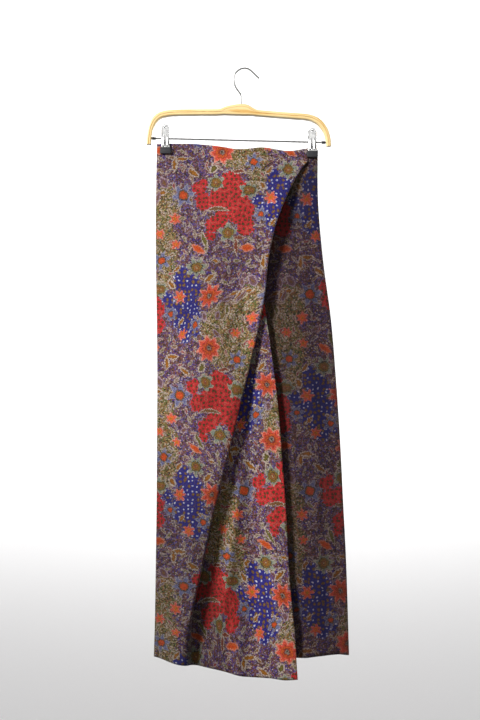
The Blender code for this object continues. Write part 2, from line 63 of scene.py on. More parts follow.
# Cloth and seams, as in the CAD model.
WALL = 0.0012
SEAM = 0.0003
LEG_MIDDLE = SEAM / 2 + WALL / 2
WRAP_MIDDLE = SEAM / 2 + WALL + SEAM + WALL / 2
RISE = 0.300                 # from the waist down to the crotch
WAIST = -0.165
CROTCH = WAIST - RISE
CROTCH_EASE = 0.120          # height over which the seat runs into the legs
PINCH = -0.185               # foot of the jaws, and the height over which the cloth swells below
PINCH_EASE = 0.120
WAIST_BULGE = 0.0070         # half the hollow at the waist, at the hips and in a leg
HIP_BULGE = 0.0120
LEG_BULGE = 0.0125
PINCHED = (-0.147, 0.126)    # the waist is open between these
HEM_PARTING = 0.0050         # half the gap between the legs at the hem
WRAP_AIR = 0.0042            # how far the wrap hangs clear of the legs, this far from its seam
WRAP_AIR_SIDE = 0.045
EDGE_SNAP = 0.0012           # columns this near the wrap's free edge lie on it

# How the cloth hangs beyond the plain panels of the CAD model.
CREST_STAND = 0.0060         # how much further the wrap's crest stands out when filled with air
CREST_SPREAD = 0.035
EDGE_FLARE = 0.0050          # how far the wrap's free edge stands off the leg
EDGE_SPREAD = 0.050
LEG_SETBACK = 0.0030         # how far the legs' front sinks in behind the wrap
SEAM_DRAW = 0.006            # distance over which a leg's front and back are drawn together
SEAM_MIDDLE = 0.0004
CREST_BACK = 0.020           # the crest stands in full where the fold's back is this wide
LOOSE_FROM = -0.340          # the free edge comes loose from here, over this height
LOOSENING = 0.150
HEM_RISE = 0.0015            # width of the step at the inner edge of a hem, and of the narrow one
EDGE_HEM_RISE = 0.0012
SEAM_CALM = 0.020            # creases fade this near a side seam, and in hollows this shallow
HOLLOW_CALM = 0.004
RIPPLE_SHIFT = 0.3           # sets the legs' unevenness apart from the wrap's

# All meshes.
WELD = 1e-6                  # points this near are one, and edges this short are taken out
SLIVER = 1e-7
SHARP_ANGLE = 40.0           # degrees: edges that turn further stay sharp
CORNER_STEPS = 4             # faces round each corner of a rounded profile

# Grid of the cloth: rows above the foot of the jaws, rows below, and their crowding upward.
PINCH_ROWS = 10
CLOTH_ROWS = 230
LEG_CLOTH_ROWS = 150
LEG_CLOTH_COLUMNS = 56
FOLD_COLUMNS = (58, 10, 12, 10, 46)
ROW_CROWDING = 1.15
SETTLING = 8                 # times that a point's height and place are brought to agree

# Side seams by height.
OUTLINE = table(
    "z        right_seam left_seam",
    (-0.1500, -0.1805, 0.1516),
    (-0.2700, -0.1826, 0.1518),
    (-0.3944, -0.1826, 0.1621),
    (-0.5183, -0.1806, 0.1786),
    (-0.6422, -0.1797, 0.1889),
    (-0.7661, -0.1804, 0.1972),
    (-0.8900, -0.1811, 0.2034),
    (-1.0139, -0.1827, 0.2096),
    (-1.1378, -0.1848, 0.2137),
    (-1.2122, -0.1869, 0.2158),
)

WAIST_EDGE = table(
    "x        z",
    (-0.1810, -0.1548),
    (-0.1100, -0.1552),
    (-0.0600, -0.1600),
    (-0.0100, -0.1672),
    (0.0380, -0.1632),
    (0.0900, -0.1698),
    (0.1300, -0.1645),
    (0.1520, -0.1675),
)

LEG_HEM = table(
    "x        z",
    (-0.1870, -1.2080),
    (0.0000, -1.2095),
    (0.1220, -1.2130),
    (0.1550, -1.2101),
    (0.1900, -1.2080),
    (0.2160, -1.2100),
)

# Hem of the wrap by distance along it from the side seam.
WRAP_HEM = table(
    "along   z",
    (0.0000, -1.2122),
    (0.0700, -1.2205),
    (0.1100, -1.2277),
    (0.1500, -1.2380),
    (0.1800, -1.2480),
    (0.2050, -1.2530),
    (0.2450, -1.2540),
    (0.2750, -1.2560),
    (0.3025, -1.2530),
)

# The wrap's diagonal drape fold, in level sections. width: cloth from side seam to free edge;
# crest: x of the outermost point of the first turn; back: straight stretch between the turns;
# turn: degrees turned; bend: cloth in each turn.
FOLD = table(
    "z        width   crest    back    turn  bend",
    (-0.1549, 0.3125, 0.1410, 0.0120, 180.0, 0.0079),
    (-0.1850, 0.3125, 0.1337, 0.0140, 180.0, 0.0079),
    (-0.2086, 0.3125, 0.1160, 0.0160, 180.0, 0.0079),
    (-0.2395, 0.3125, 0.0985, 0.0280, 180.0, 0.0079),
    (-0.2705, 0.3125, 0.0840, 0.0410, 180.0, 0.0079),
    (-0.3020, 0.3125, 0.0712, 0.0430, 180.0, 0.0079),
    (-0.3325, 0.3125, 0.0613, 0.0420, 180.0, 0.0079),
    (-0.3944, 0.3125, 0.0487, 0.0400, 180.0, 0.0079),
    (-0.4770, 0.3125, 0.0400, 0.0378, 178.0, 0.0080),
    (-0.5699, 0.3125, 0.0208, 0.0320, 176.0, 0.0080),
    (-0.6938, 0.3125, -0.0090, 0.0246, 172.0, 0.0080),
    (-0.7868, 0.3125, -0.0318, 0.0210, 168.0, 0.0080),
    (-0.9107, 0.3125, -0.0630, 0.0159, 160.0, 0.0090),
    (-1.0139, 0.3125, -0.0840, 0.0119, 150.0, 0.0110),
    (-1.0965, 0.3095, -0.1020, 0.0084, 125.0, 0.0130),
    (-1.1500, 0.3065, -0.1090, 0.0062, 90.0, 0.0180),
    (-1.2600, 0.3025, -0.1150, 0.0050, 50.0, 0.0200),
)

# Creases and soft folds. layer: over is the wrap before the crest, strip is the wrap beyond the
# fold, the others are leg panels; height: how far it stands out from the wearer; spread: half its
# width. The first six are also in the CAD model.
CREASES = table(
    "layer             top_x    top_z    end_x    end_z    spread  height",
    ("strip", 0.0030, -0.7650, -0.0520, -1.1900, 0.0110, 0.0060),
    ("strip", 0.0330, -0.6400, 0.0790, -1.2400, 0.0150, 0.0050),
    ("strip", 0.0120, -0.8000, 0.0250, -1.1500, 0.0100, -0.0025),
    ("strip", -0.0220, -1.0700, -0.0050, -1.3000, 0.0130, 0.0050),
    ("over", 0.0114, -0.4200, -0.0609, -0.6000, 0.0080, 0.0028),
    ("over", -0.1000, -0.7000, -0.1300, -1.1600, 0.0200, 0.0040),
    ("over", 0.1146, -0.2395, 0.0361, -0.4770, 0.0080, 0.0018),
    ("over", 0.1180, -0.1950, 0.0200, -0.3300, 0.0060, 0.0016),
    ("over", 0.1040, -0.1900, -0.0100, -0.2550, 0.0065, 0.0012),
    ("over", 0.1220, -0.2000, 0.0600, -0.3100, 0.0045, -0.0010),
    ("over", 0.0700, -0.3000, -0.0300, -0.5200, 0.0100, -0.0014),
    ("over", 0.0200, -0.5200, -0.0520, -0.8000, 0.0110, 0.0018),
    ("over", -0.0200, -0.6400, -0.0920, -1.0200, 0.0140, 0.0018),
    ("over", -0.1520, -0.1880, -0.1150, -0.3300, 0.0060, 0.0012),
    ("over", -0.1420, -0.1880, -0.0700, -0.2900, 0.0050, -0.0009),
    ("over", -0.0600, -0.3800, -0.1080, -0.9200, 0.0200, 0.0018),
    ("over", -0.1500, -0.4500, -0.1480, -1.0500, 0.0140, -0.0014),
    ("over", -0.1700, -0.8000, -0.1720, -1.2000, 0.0080, 0.0010),
    ("over", -0.0300, -0.2200, -0.0800, -0.5200, 0.0180, -0.0012),
    ("strip", 0.0700, -0.4200, 0.1020, -1.0500, 0.0110, 0.0015),
    ("strip", 0.0480, -0.5200, 0.0520, -0.9400, 0.0090, -0.0014),
    ("strip", 0.0980, -0.8800, 0.1040, -1.2400, 0.0090, 0.0014),
    ("strip", 0.0000, -0.9800, -0.0200, -1.2000, 0.0070, -0.0012),
    ("strip", 0.0500, -1.0200, 0.0560, -1.2800, 0.0100, -0.0016),
    ("left_leg_front", 0.1300, -0.2000, 0.1150, -0.5200, 0.0090, 0.0014),
    ("left_leg_front", 0.1420, -0.3000, 0.1500, -0.7800, 0.0090, -0.0012),
    ("left_leg_front", 0.1350, -0.5200, 0.1600, -1.1500, 0.0120, 0.0020),
    ("left_leg_front", 0.1750, -0.7000, 0.1880, -1.2300, 0.0100, 0.0014),
    ("left_leg_front", 0.1580, -0.9000, 0.1740, -1.2400, 0.0070, -0.0012),
    ("left_leg_back", 0.1280, -0.1950, 0.0600, -0.4200, 0.0090, 0.0014),
    ("left_leg_back", 0.1180, -0.1950, 0.0900, -0.6500, 0.0110, -0.0016),
    ("left_leg_back", 0.0700, -0.4600, 0.0900, -1.0800, 0.0140, 0.0024),
    ("left_leg_back", 0.1400, -0.5500, 0.1600, -1.2300, 0.0120, 0.0020),
    ("left_leg_back", 0.1100, -0.8000, 0.1180, -1.2400, 0.0100, -0.0018),
    ("right_leg_back", -0.1400, -0.1950, -0.0900, -0.4400, 0.0090, 0.0014),
    ("right_leg_back", -0.1300, -0.2000, -0.1400, -0.6200, 0.0100, -0.0016),
    ("right_leg_back", -0.0600, -0.3600, -0.0700, -0.9600, 0.0160, 0.0024),
    ("right_leg_back", -0.1250, -0.6200, -0.1320, -1.2300, 0.0130, 0.0022),
    ("right_leg_back", -0.0900, -0.8400, -0.0880, -1.2400, 0.0100, -0.0018),
    ("right_leg_front", -0.1000, -0.5000, -0.1050, -1.1500, 0.0150, 0.0015),
)

# Waves too small to name one by one: sideways and down waves a metre, phase, height.
RIPPLES = table(
    "sideways down   phase  height",
    (23.0, 5.0, 0.7, 0.00034),
    (-41.0, 9.0, 2.1, 0.00022),
    (17.0, -19.0, 4.0, 0.00020),
    (67.0, 13.0, 5.3, 0.00012),
    (-11.0, 31.0, 1.2, 0.00016),
)

# Where the print lies on the hanging wrap. x, z: a place seen from the front; across, down: the
# place of the print there, measured on the flat cloth from the side seam and from the hook's top.
PRINT_PLACES = table(
    "layer    x        z        across   down",
    ("over", -0.0196, -0.5452, 0.1939, 0.5431),
    ("over", -0.0733, -0.5761, 0.1340, 0.5782),
    ("over", -0.0155, -0.6009, 0.2001, 0.5988),
    ("over", -0.0878, -0.6174, 0.1196, 0.6133),
    ("over", -0.1249, -0.6401, 0.0721, 0.6360),
    ("over", -0.1311, -0.6732, 0.0566, 0.6670),
    ("over", -0.0733, -0.7021, 0.1278, 0.6938),
    ("over", -0.1394, -1.1068, 0.0401, 1.1213),
    ("over", -0.1745, -1.1316, 0.0081, 1.1502),
    ("over", -0.1704, -1.1812, 0.0142, 1.2060),
    ("over", 0.0600, -0.2700, 0.2426, 0.2700),
    ("over", 0.0000, -0.2700, 0.1826, 0.2700),
    ("over", -0.0900, -0.2700, 0.0926, 0.2700),
    ("over", -0.0500, -0.4000, 0.1326, 0.4000),
    ("over", 0.0200, -0.4000, 0.2056, 0.3995),
    ("over", -0.1600, -0.3000, 0.0226, 0.3000),
    ("over", -0.1600, -0.5000, 0.0206, 0.5000),
    ("over", -0.1650, -0.8000, 0.0154, 0.8000),
    ("over", -0.1650, -1.0000, 0.0177, 1.0050),
    ("strip", 0.0475, -0.6525, 0.3075, 0.6732),
    ("strip", 0.0547, -0.7641, 0.3199, 0.7806),
    ("strip", -0.0010, -0.8694, 0.2424, 0.8694),
    ("strip", 0.0650, -0.8921, 0.3137, 0.8962),
    ("strip", -0.0145, -0.9179, 0.2259, 0.9189),
    ("strip", -0.0382, -1.0036, 0.2001, 1.0036),
    ("strip", -0.0816, -1.0449, 0.1216, 1.0470),
    ("strip", -0.0712, -1.0883, 0.1278, 1.0986),
    ("strip", -0.0299, -1.0511, 0.1877, 1.0614),
    ("strip", 0.0444, -1.0180, 0.2713, 1.0201),
    ("strip", 0.0155, -1.0800, 0.2364, 1.0800),
    ("strip", 0.0795, -1.0841, 0.3075, 1.0779),
    ("strip", -0.0940, -1.1667, 0.0886, 1.1832),
    ("strip", -0.0217, -1.1853, 0.1939, 1.1791),
    ("strip", 0.0857, -1.1977, 0.3199, 1.1853),
    ("strip", 0.0031, -1.2163, 0.2311, 1.1998),
)
PRINT_REACH = 0.025          # how near a measured place has to be to rule the print alone

# Where each leg panel was cut from the printed cloth: print place of x = 0, z = 0.
LEG_PRINT = table(
    "name               across   down",
    ("right_leg_front", 0.1826, 0.1500),
    ("right_leg_back", 0.2400, 0.0900),
    ("left_leg_front", 0.1080, -0.0004),
    ("left_leg_back", 0.3100, 0.2200),
)

# Lines of stitches. A hem's lie a little above its inner edge, across this share of a leg panel.
STITCH_INSET = 0.002
EDGE_STITCH_INSET = 0.0015
LEG_HEM_SHARE = (0.02, 0.98)
LEG_HEM_LEVEL = -1.190
LEG_HEM_STEPS = 90
WRAP_HEM_ALONG = (0.004, 0.302)
WRAP_HEM_STEPS = 400
WRAP_EDGE_DOWN = (-0.345, -1.254)
WRAP_EDGE_STEPS = 600
STITCH_CORNERS = ((1, 0.2), (0, 1.3), (-1, 0.2), (0, -0.5))   # across and out, in threads
NEARBY = 1e-4                # step over which a slope is measured

# Hanger arm: centre line from the left tip to the right tip, with its height across the strip.
ARM_DEPTH = 0.0160
ARM_STEPS = 6                # points to each row of its centre line
ARM_ROUNDING = 0.0026
ARM_PLY = 0.0059             # thickness of each outer lamination
GROOVE_HALF = 0.00035        # the glue lines' half width and depth, and the least that they lie
GROOVE_DEPTH = 0.0005        # off the arm's middle
GROOVE_CLEAR = 0.0004
ARM_CENTRE = table(
    "x        z        height",
    (-0.1972, -0.1559, 0.0098),
    (-0.1966, -0.1425, 0.0103),
    (-0.1941, -0.1260, 0.0108),
    (-0.1900, -0.1136, 0.0112),
    (-0.1838, -0.1039, 0.0115),
    (-0.1745, -0.0966, 0.0118),
    (-0.1621, -0.0929, 0.0118),
    (-0.1415, -0.0909, 0.0118),
    (-0.0919, -0.0902, 0.0118),
    (-0.0589, -0.0900, 0.0118),
    (-0.0465, -0.0888, 0.0128),
    (-0.0382, -0.0869, 0.0166),
    (-0.0299, -0.0859, 0.0190),
    (-0.0176, -0.0849, 0.0218),
    (-0.0072, -0.0847, 0.0226),
    (0.0031, -0.0853, 0.0222),
    (0.0114, -0.0876, 0.0180),
    (0.0196, -0.0897, 0.0142),
    (0.0279, -0.0917, 0.0122),
    (0.0527, -0.0938, 0.0118),
    (0.0940, -0.0970, 0.0118),
    (0.1229, -0.0991, 0.0118),
    (0.1373, -0.1018, 0.0118),
    (0.1497, -0.1074, 0.0118),
    (0.1590, -0.1156, 0.0115),
    (0.1673, -0.1280, 0.0110),
    (0.1720, -0.1425, 0.0104),
    (0.1741, -0.1600, 0.0098),
)

# Hook: centre line of the wire, from its tip over the seat and down into the arm.
WIRE = 0.0017                # half the thickness of the wire, and of the bead at its tip
HOOK_TIP = 0.0024
STEM_X = -0.0068
HOOK_STEPS = 8               # points to each row of its centre line
HOOK_PLAIN = 4               # the first of them behind the bead
HOOK_SIDES = 20
HOOK_CENTRE = table(
    "x        z",
    (0.0285, -0.0178),
    (0.0232, -0.0128),
    (0.0180, -0.0076),
    (0.0128, -0.0030),
    (0.0068, 0.0006),
    (0.0004, 0.0017),
    (-0.0066, 0.0006),
    (-0.0132, -0.0030),
    (-0.0186, -0.0090),
    (-0.0213, -0.0165),
    (-0.0217, -0.0240),
    (-0.0203, -0.0315),
    (-0.0172, -0.0388),
    (-0.0128, -0.0455),
    (-0.0088, -0.0510),
    (STEM_X, -0.0570),
    (STEM_X, -0.0640),
    (STEM_X, -0.0720),
    (STEM_X, -0.0862),
)
# Bead by its distance along the wire from the tip. size: share of its full thickness.
HOOK_BEAD = table(
    "along    size",
    (-0.0024, 0.20),
    (-0.0021, 0.55),
    (-0.0016, 0.80),
    (-0.0004, 1.00),
    (0.0008, 0.90),
    (0.0016, 0.74),
)

# Rod and clips. Heights on a clip are measured from the rod.
ROD_LEFT = Vector((-0.1960, 0.0, -0.1430))
ROD_RIGHT = Vector((0.1725, 0.0, -0.1519))
CLIPS = table(
    "side     x",
    ("left", -0.1627),
    ("right", 0.1400),
)
LEAF = 0.0008                # thickness of the sheet, and half of that in the CAD model
LEAF_MIDDLE = 0.0010 / 2
LEAF_AT_ROD = 0.0048         # how far a leaf stands off the hanger's middle beside the rod
LEAF_EYE = 0.0024            # half the width of the eye, and its height
LEAF_EYE_HEIGHT = 0.0228
LEAF_STEPS = 5               # points to each row of its shape
EYE_SIDES = 24
SLOT_SIDES = 12
EYE_RIM_POINTS = 32
EYE_RIM_SIDES = 8

# A leaf from its top down. half: half its width; jaw: share of the way to the stand that it has at
# the jaw; flare: how much further it stands off.
LEAF_SHAPE = table(
    "z        half    jaw   flare",
    (0.0276, 0.0022, 0.00, 0.0043),
    (0.0271, 0.0042, 0.00, 0.0042),
    (0.0256, 0.0066, 0.00, 0.0039),
    (0.0225, 0.0079, 0.00, 0.0034),
    (0.0120, 0.0081, 0.00, 0.0016),
    (0.0030, 0.0083, 0.00, 0.0002),
    (-0.0060, 0.0086, 0.20, 0.0000),
    (-0.0130, 0.0088, 0.75, 0.0000),
    (-0.0186, 0.0088, 1.00, 0.0000),
    (-0.0272, 0.0085, 1.00, 0.0000),
)
LEAF_COLUMNS = 36
RIB_AT = 0.45                # place of each rib, as a share of half the leaf's width
RIB_HALF = 0.16
RIB_STEEPNESS = 2.0
RIB_HEIGHT = 0.0008
RIB_ENDS = (-0.0165, 0.0085)
RIB_RUN = 0.003              # height over which a rib rises at its ends
FLANGE = 0.0019              # how far the leaf's long edges are turned in
FLANGE_RUN = 0.004           # height over which they turn in, from the ribs' foot
FLANGE_AT = 0.84             # and the share of half the leaf's width where they start
FLANGE_CURL = 1.5            # how late they turn
EYE_RIM = 0.0004             # half the thickness of the rolled rim round the eye
EYE_RIM_OUT = 0.0003         # how far it lies outside the eye
EYE_STAND = 0.0034           # how far the leaf flares at the eye, and its height there
EYE_LEVEL = 0.0225
SLOT_LEVEL = -0.0167         # middle of the slots at the foot of the ribs
SLOT_HALF = (0.0011, 0.0016)
SLOT_LEAF = 0.0088           # half the leaf's width there
CUTTER = (0.001, 0.02)       # a hole's cutter runs between these, out from the hanger's middle
BOOT_WIDTH = 0.0225
BOOT_HEIGHT = 0.0128
BOOT_TOP = -0.0190
BOOT_INNER = 0.0029          # rubber between the cloth and the leaf, and all through the boot
BOOT_DEPTH = 0.0056
BOOT_ROUNDING = 0.0012
BOOT_TUCK = 0.0006           # how far its top and bottom edges draw in
BOOT_INNER_TUCK = 0.4        # and the share of that on the side of the cloth
BOOT_GROOVES = (0.0038, 0.0068, 0.0098)   # levels of its grip grooves, below its top
BOOT_GROOVE_DEPTH = 0.0004
BOOT_GROOVE_HALF = 0.0007
BOOT_EDGE_LEVELS = (0.0, 0.0006, 0.0016, 0.0116, 0.0124, BOOT_HEIGHT)
BOOT_GROOVE_LEVELS = (-0.0008, -0.0002, 0.0002, 0.0008)
SPRING_COIL = 0.0031         # half the width of the coil, half the thickness of its wire
SPRING_WIRE = 0.0006
SPRING_LENGTH = 0.0108
SPRING_TURNS = 7
SPRING_STEPS = 16            # points to a turn
SPRING_SIDES = 8

# Batik chart. The traditional flower bouquets were charted on squared paper: one square of the
# chart in metres, and the drop repeat in squares. The next column stands half a repeat lower.
CHART_SQUARE = 0.002065
COLUMN = 90.0
REPEAT = 196.0
DROP = 98.0

# Flowers. across, down: centre in squares; reach: to the tips of the petals; inner: reach between
# the petals, as a share; turn: degrees; eye: reach of the round centre.
FLOWERS = table(
    "kind        across  down    reach  inner  petals  turn  eye",
    ("coral", 65.3, 83.8, 12.5, 0.66, 8, 10, 3.2),
    ("coral", 58.3, 31.3, 12.8, 0.52, 8, 20, 2.8),
    ("coral_star", 24.5, 32.4, 7.2, 0.45, 6, 5, 2.6),
    ("coral_star", 19.4, 150.7, 6.5, 0.45, 6, 30, 2.3),
    ("coral_star", 4.1, 165.4, 5.6, 0.45, 6, 0, 2.0),
    ("coral_star", 20.9, 176.0, 5.2, 0.45, 5, 15, 2.0),
    ("coral_star", 33.4, 69.2, 6.2, 0.45, 6, 25, 2.2),
    ("lavender", 27.6, 127.2, 12.0, 0.42, 6, 10, 5.0),
    ("lavender", 6.8, 191.8, 9.5, 0.40, 6, 20, 3.9),
    ("lavender", 14.5, 49.2, 7.5, 0.48, 6, 10, 2.9),
    ("lavender", 48.3, 60.1, 8.5, 0.42, 6, 40, 3.3),
    ("celadon", 41.4, 3.4, 11.0, 0.48, 7, 12, 5.2),
    ("celadon", 72.5, 165.2, 10.5, 0.50, 5, 18, 5.4),
    ("celadon", 59.7, 114.8, 9.5, 0.55, 6, 30, 5.2),
    ("celadon", 91.6, 122.5, 9.5, 0.48, 5, 10, 4.6),
    ("celadon", 5.5, 24.5, 7.5, 0.55, 6, 0, 4.0),
)

# Leaves: half_length and half_width in squares, turn in degrees from across towards down.
LEAVES = table(
    "kind        across  down    half_length half_width turn",
    ("ochre", 24.5, 90.2, 7.0, 2.0, 0),
    ("ochre", 18.2, 96.0, 7.0, 2.0, 90),
    ("ochre", 37.2, 104.5, 7.5, 2.1, 39),
    ("ochre", 26.6, 57.0, 5.0, 1.6, -50),
    ("ochre", 54.6, 13.7, 6.8, 2.0, -43),
    ("ochre", 5.2, 124.2, 6.5, 2.0, -8),
    ("ochre", 22.6, 4.4, 5.4, 1.7, -52),
    ("ochre", 16.2, 19.8, 5.0, 2.4, 60),
    ("ochre", 47.5, 53.4, 4.6, 1.5, 20),
    ("ochre", 82.0, 29.4, 6.6, 1.4, -32),
    ("ochre", 88.2, 30.2, 6.4, 1.4, -76),
    ("ochre", 60.0, 193.0, 4.4, 1.6, 15),
    ("olive", 57.5, 100.7, 5.0, 2.6, -58),
    ("olive", 49.0, 172.4, 9.5, 1.8, 70),
    ("olive", 53.5, 56.6, 4.4, 1.6, 52),
    ("olive", 84.0, 45.0, 6.0, 1.9, 70),
    ("orange", 42.6, 181.0, 7.8, 2.5, 33),
    ("orange", 2.3, 82.0, 7.0, 2.9, 0),
    ("russet", 81.9, 103.5, 7.2, 1.7, 0),
    ("russet", 84.0, 170.3, 6.4, 1.5, 0),
    ("russet", 80.7, 178.6, 8.6, 1.6, 86),
    ("outlined", 8.0, 114.0, 6.8, 3.4, 58),
    ("outlined", 46.5, 195.5, 5.5, 2.2, 20),
    ("outlined", 78.6, 34.0, 6.4, 1.9, -28),
    ("outlined", 91.6, 31.0, 6.8, 1.7, -70),
    ("outlined", 87.6, 17.5, 5.0, 2.6, 80),
    ("outlined", 58.6, 52.0, 4.8, 2.5, 62),
    ("outlined", 74.5, 50.2, 4.6, 2.4, 84),
    ("outlined", 74.0, 69.0, 5.5, 2.0, 45),
    ("outlined", 33.0, 162.0, 5.0, 2.0, -30),
)

# Crescents, in squares: a disc with a second one taken out. cut: how far down the second one
# lies; rim: width of the outline.
CRESCENT = {"across": 62.0, "down": 155.5, "reach": 16.0, "cut": 56.3, "cut_reach": 69.3,
            "rim": 0.7}
CRESCENT_ROOM = 2.0          # squares beyond it that its outline may take

RED_PATCH = table(
    "across  down    reach",
    (74.9, 114.0, 11.0),
    (81.9, 123.0, 12.0),
    (42.9, 120.0, 7.0),
    (46.9, 116.0, 5.0),
    (47.9, 134.0, 9.0),
    (63.9, 131.0, 12.0),
    (75.9, 135.0, 12.0),
    (86.9, 141.0, 12.0),
    (57.9, 157.0, 8.0),
    (65.9, 151.0, 8.0),
    (79.9, 147.0, 9.0),
    (89.9, 159.0, 9.0),
    (54.9, 168.0, 5.0),
)
NAVY_PATCH = table(
    "across  down    reach",
    (26.9, 205.0, 7.0),
    (26.9, 215.0, 8.0),
    (36.9, 214.0, 8.0),
    (35.9, 224.0, 10.0),
    (42.9, 221.0, 7.0),
    (11.9, 230.0, 6.0),
    (13.9, 237.0, 4.0),
    (33.9, 236.0, 11.0),
    (23.9, 241.0, 9.0),
    (43.9, 236.0, 6.0),
    (38.9, 246.0, 11.0),
    (26.9, 251.0, 9.0),
    (47.9, 249.0, 6.0),
    (33.9, 258.0, 9.0),
    (43.9, 259.0, 8.0),
    (39.9, 268.0, 6.0),
    (50.9, 264.0, 4.0),
)
OLIVE_GROUND = table(
    "across  down    reach",
    (79.9, 257.0, 23.0),
    (80.9, 275.0, 23.0),
    (99.0, 224.0, 10.0),
    (10.0, 141.0, 12.5),
    (6.0, 158.0, 11.0),
    (11.0, 172.0, 12.0),
    (10.0, 187.0, 13.0),
    (12.0, 203.0, 10.0),
    (10.0, 213.0, 8.0),
)

# Dyes side by side: share where each starts, and a hex colour or the name of a changeable one.
PURPLE_DOTS = ((0.0, "dark"), (0.21, "purple"), (0.46, "#7C5236"), (0.59, "#503C96"),
               (0.75, "#8A6072"), (0.87, "#8478AC"), (0.96, "cream"))
OLIVE_DOTS = ((0.0, "#443A22"), (0.18, "olive"), (0.46, "#6C7A40"), (0.60, "#9A6A3E"),
              (0.76, "#B8A676"), (0.93, "cream"))
FILLER_DYES = ((0.0, "brown"), (0.35, "#6A5A70"), (0.55, "#7E7440"), (0.80, "#9A4A4E"))

# Florets in a patch, from the middle out: share of their spacing where each dye starts.
RED_FLORETS = ((0.0, "#6A6A30"), (0.07, "#54421E"), (0.21, "#A02A2A"), (0.29, "red"),
               (0.60, "#DA5A4C"), (0.72, "#B84A44"))
WHITE_DOTS = ((0.0, "#E6E8F6"), (0.16, "#6C7CC0"), (0.25, "navy"), (0.62, "#56467A"))
BROWN_DOTS = ((0.0, "#A08850"), (0.10, "#7E6038"), (0.32, "#5A3A70"), (0.40, "navy"))
WHITE_SHARE = 0.45           # share of the navy patch's dots that stay white

# Motifs from the middle out: share of the reach where each dye starts, the dye, and the end.
LEAF_RINGS = {
    "ochre": (0.0, "#B0741E", 0.40, "#8A5C20", 0.72, "cream", 1.14),
    "olive": (0.0, "#7A7430", 0.45, "#5E5424", 0.74, "cream", 1.14),
    "orange": (0.0, "#D8501C", 0.35, "orange", 0.80, "#E09480", 1.12),
    "russet": (0.0, "#8A4A34", 0.80, "cream", 1.15),
    "outlined": (0.0, "brown", 0.30, "#7A5A6A", 0.74, "#B4A2B0", 1.05),
}
FLOWER_RINGS = {
    "lavender": (0.0, "lavender", 0.62, "#747AAA", 0.88, "#A6A8BC", 1.06),
    "celadon": (0.0, "dark", 0.56, "celadon", 0.84, "#B4B4A0", 1.02),
    "coral": (0.0, "orange", 0.30, "#9A3428", 0.37, "orange", 0.55, "#A8362C", 0.62, "coral",
              0.90, "#EC9A86", 1.04),
    "coral_star": (0.0, "#EC6A2C", 0.58, "#EC6A58", 0.90, "#EFA090", 1.05),
}
EYE_RINGS = {
    "lavender": (0.0, "#E2622A", 0.30, "#D4521C", 0.76, "brown", 0.96, "dark", 1.08),
    "celadon": (0.0, "#B0A070", 0.15, "#92523A", 0.36, "#A0742C", 0.56, "#6E4A34",
                0.70, "#8E7A30", 0.95, "dark", 1.05),
    "coral": (0.0, "#4A3A30", 0.35, "#9A8C80", 0.70, "#8A3A2C", 1.0),
    "coral_star": (0.0, "#B8861E", 0.40, "#F07A34", 1.0),
}
RING_REACH = 1.6             # a motif's rings run from 0 to this, its outline from 1
OUTLINE_REACH = 1.5          # squares beyond a motif that its outline may take

# How a hand-drawn edge wanders, and the finer unevenness of the wax along it. waves: in a square;
# sway: squares to either side, both ways together.
HAND = table(
    "waves detail sway",
    (0.25, 1.0, 2.4),
    (0.75, 0.0, 2.2),
)
# Dye takes unevenly, and the crossing threads leave it slightly broken: brightness low and high.
DYE_LEVELS = table(
    "waves detail low   high",
    (0.02, 3.0, 0.88, 1.10),
    (0.80, 2.0, 0.62, 1.38),
)
NOISE_RANGE = (0.3, 0.7)     # where most of a noise's values lie

GROUND_MIXING = 2.6          # squares over which the dots of both grounds mix
PATCH_BLEND = 2.0            # squares over which the rounds of a patch run together
SPRIG_SPACING = 4.6          # squares between the small florets in a patch
SPRIG_LOOSENESS = 0.62       # how far they stand out of line: 0 in rows, 1 at random
SPECKLE = 1.15               # squares between the dots of the ground: 2.4 mm, where the real ones
                             # are near 1 mm, so that they show
SPECKLE_LOOSENESS = 0.9
VINE_SPACING = 5.0           # squares between the fine lines of the ground
VINE_WIDTH = 0.022           # half the share of the noise's range that a line takes, drawn broader
                             # than in the real cloth so that it shows, and how clear it is
VINE_STRENGTH = 0.62
VINE_DETAIL = 1.5
LEAF_FULLNESS = 1.25         # how much fuller the leaves are drawn than their lengths suggest
FILLER_SPACING = 11.0        # squares between the small outlined leaves of the ground
FILLER_LENGTH = 4.6          # half the length of one, and half its width
FILLER_WIDTH = 1.5
FILLER_RIM = 0.35            # half the width of its outline, and how clear it is
FILLER_RIM_STRENGTH = 0.8
FILLER_LOOSENESS = 0.8
SCALLOP = 1.1                # how strongly a patch's edge follows the florets along it
SCALLOP_MIDDLE = 1.9
PATCH_HALO = (0.5, 0.9)      # squares outside a patch over which its halo fades
HALO_STRENGTH = 0.7
WEAVE_PITCH = 0.0011         # real threads lie 0.35 mm apart, drawn coarser so that they show
CRUMPLES = 26.0              # soft crumples in a metre, one every 38 mm
WOOD_GRAIN = (14.0, 24.0, 1.0)   # grain in a metre along the arm, and in one turn round it
WRAP_DYE = (0.56, 0.50, 0.48)     # brightness of the dyes of the wrap; of the legs' fronts, much darker with painted shade; and of the legs' backs, with less painted shade
LEG_DYE_AND_SHADE = (0.21, 0.165, 0.165)    # fronts, which are much deeper, and of the legs' backs
BACK_DYE_AND_SHADE = (0.38, 0.33, 0.32)
PAINTED_LOW_SHADE = (-0.48, 0.12)       # painted shade and light low on the wrap: change of brightness at its seam and its edge
PAINTED_LOW_SHADE_ACROSS = (0.08, 0.24)  # metres from the seam, and down, over which it changes
PAINTED_LOW_SHADE_DOWN = (0.70, 1.00)

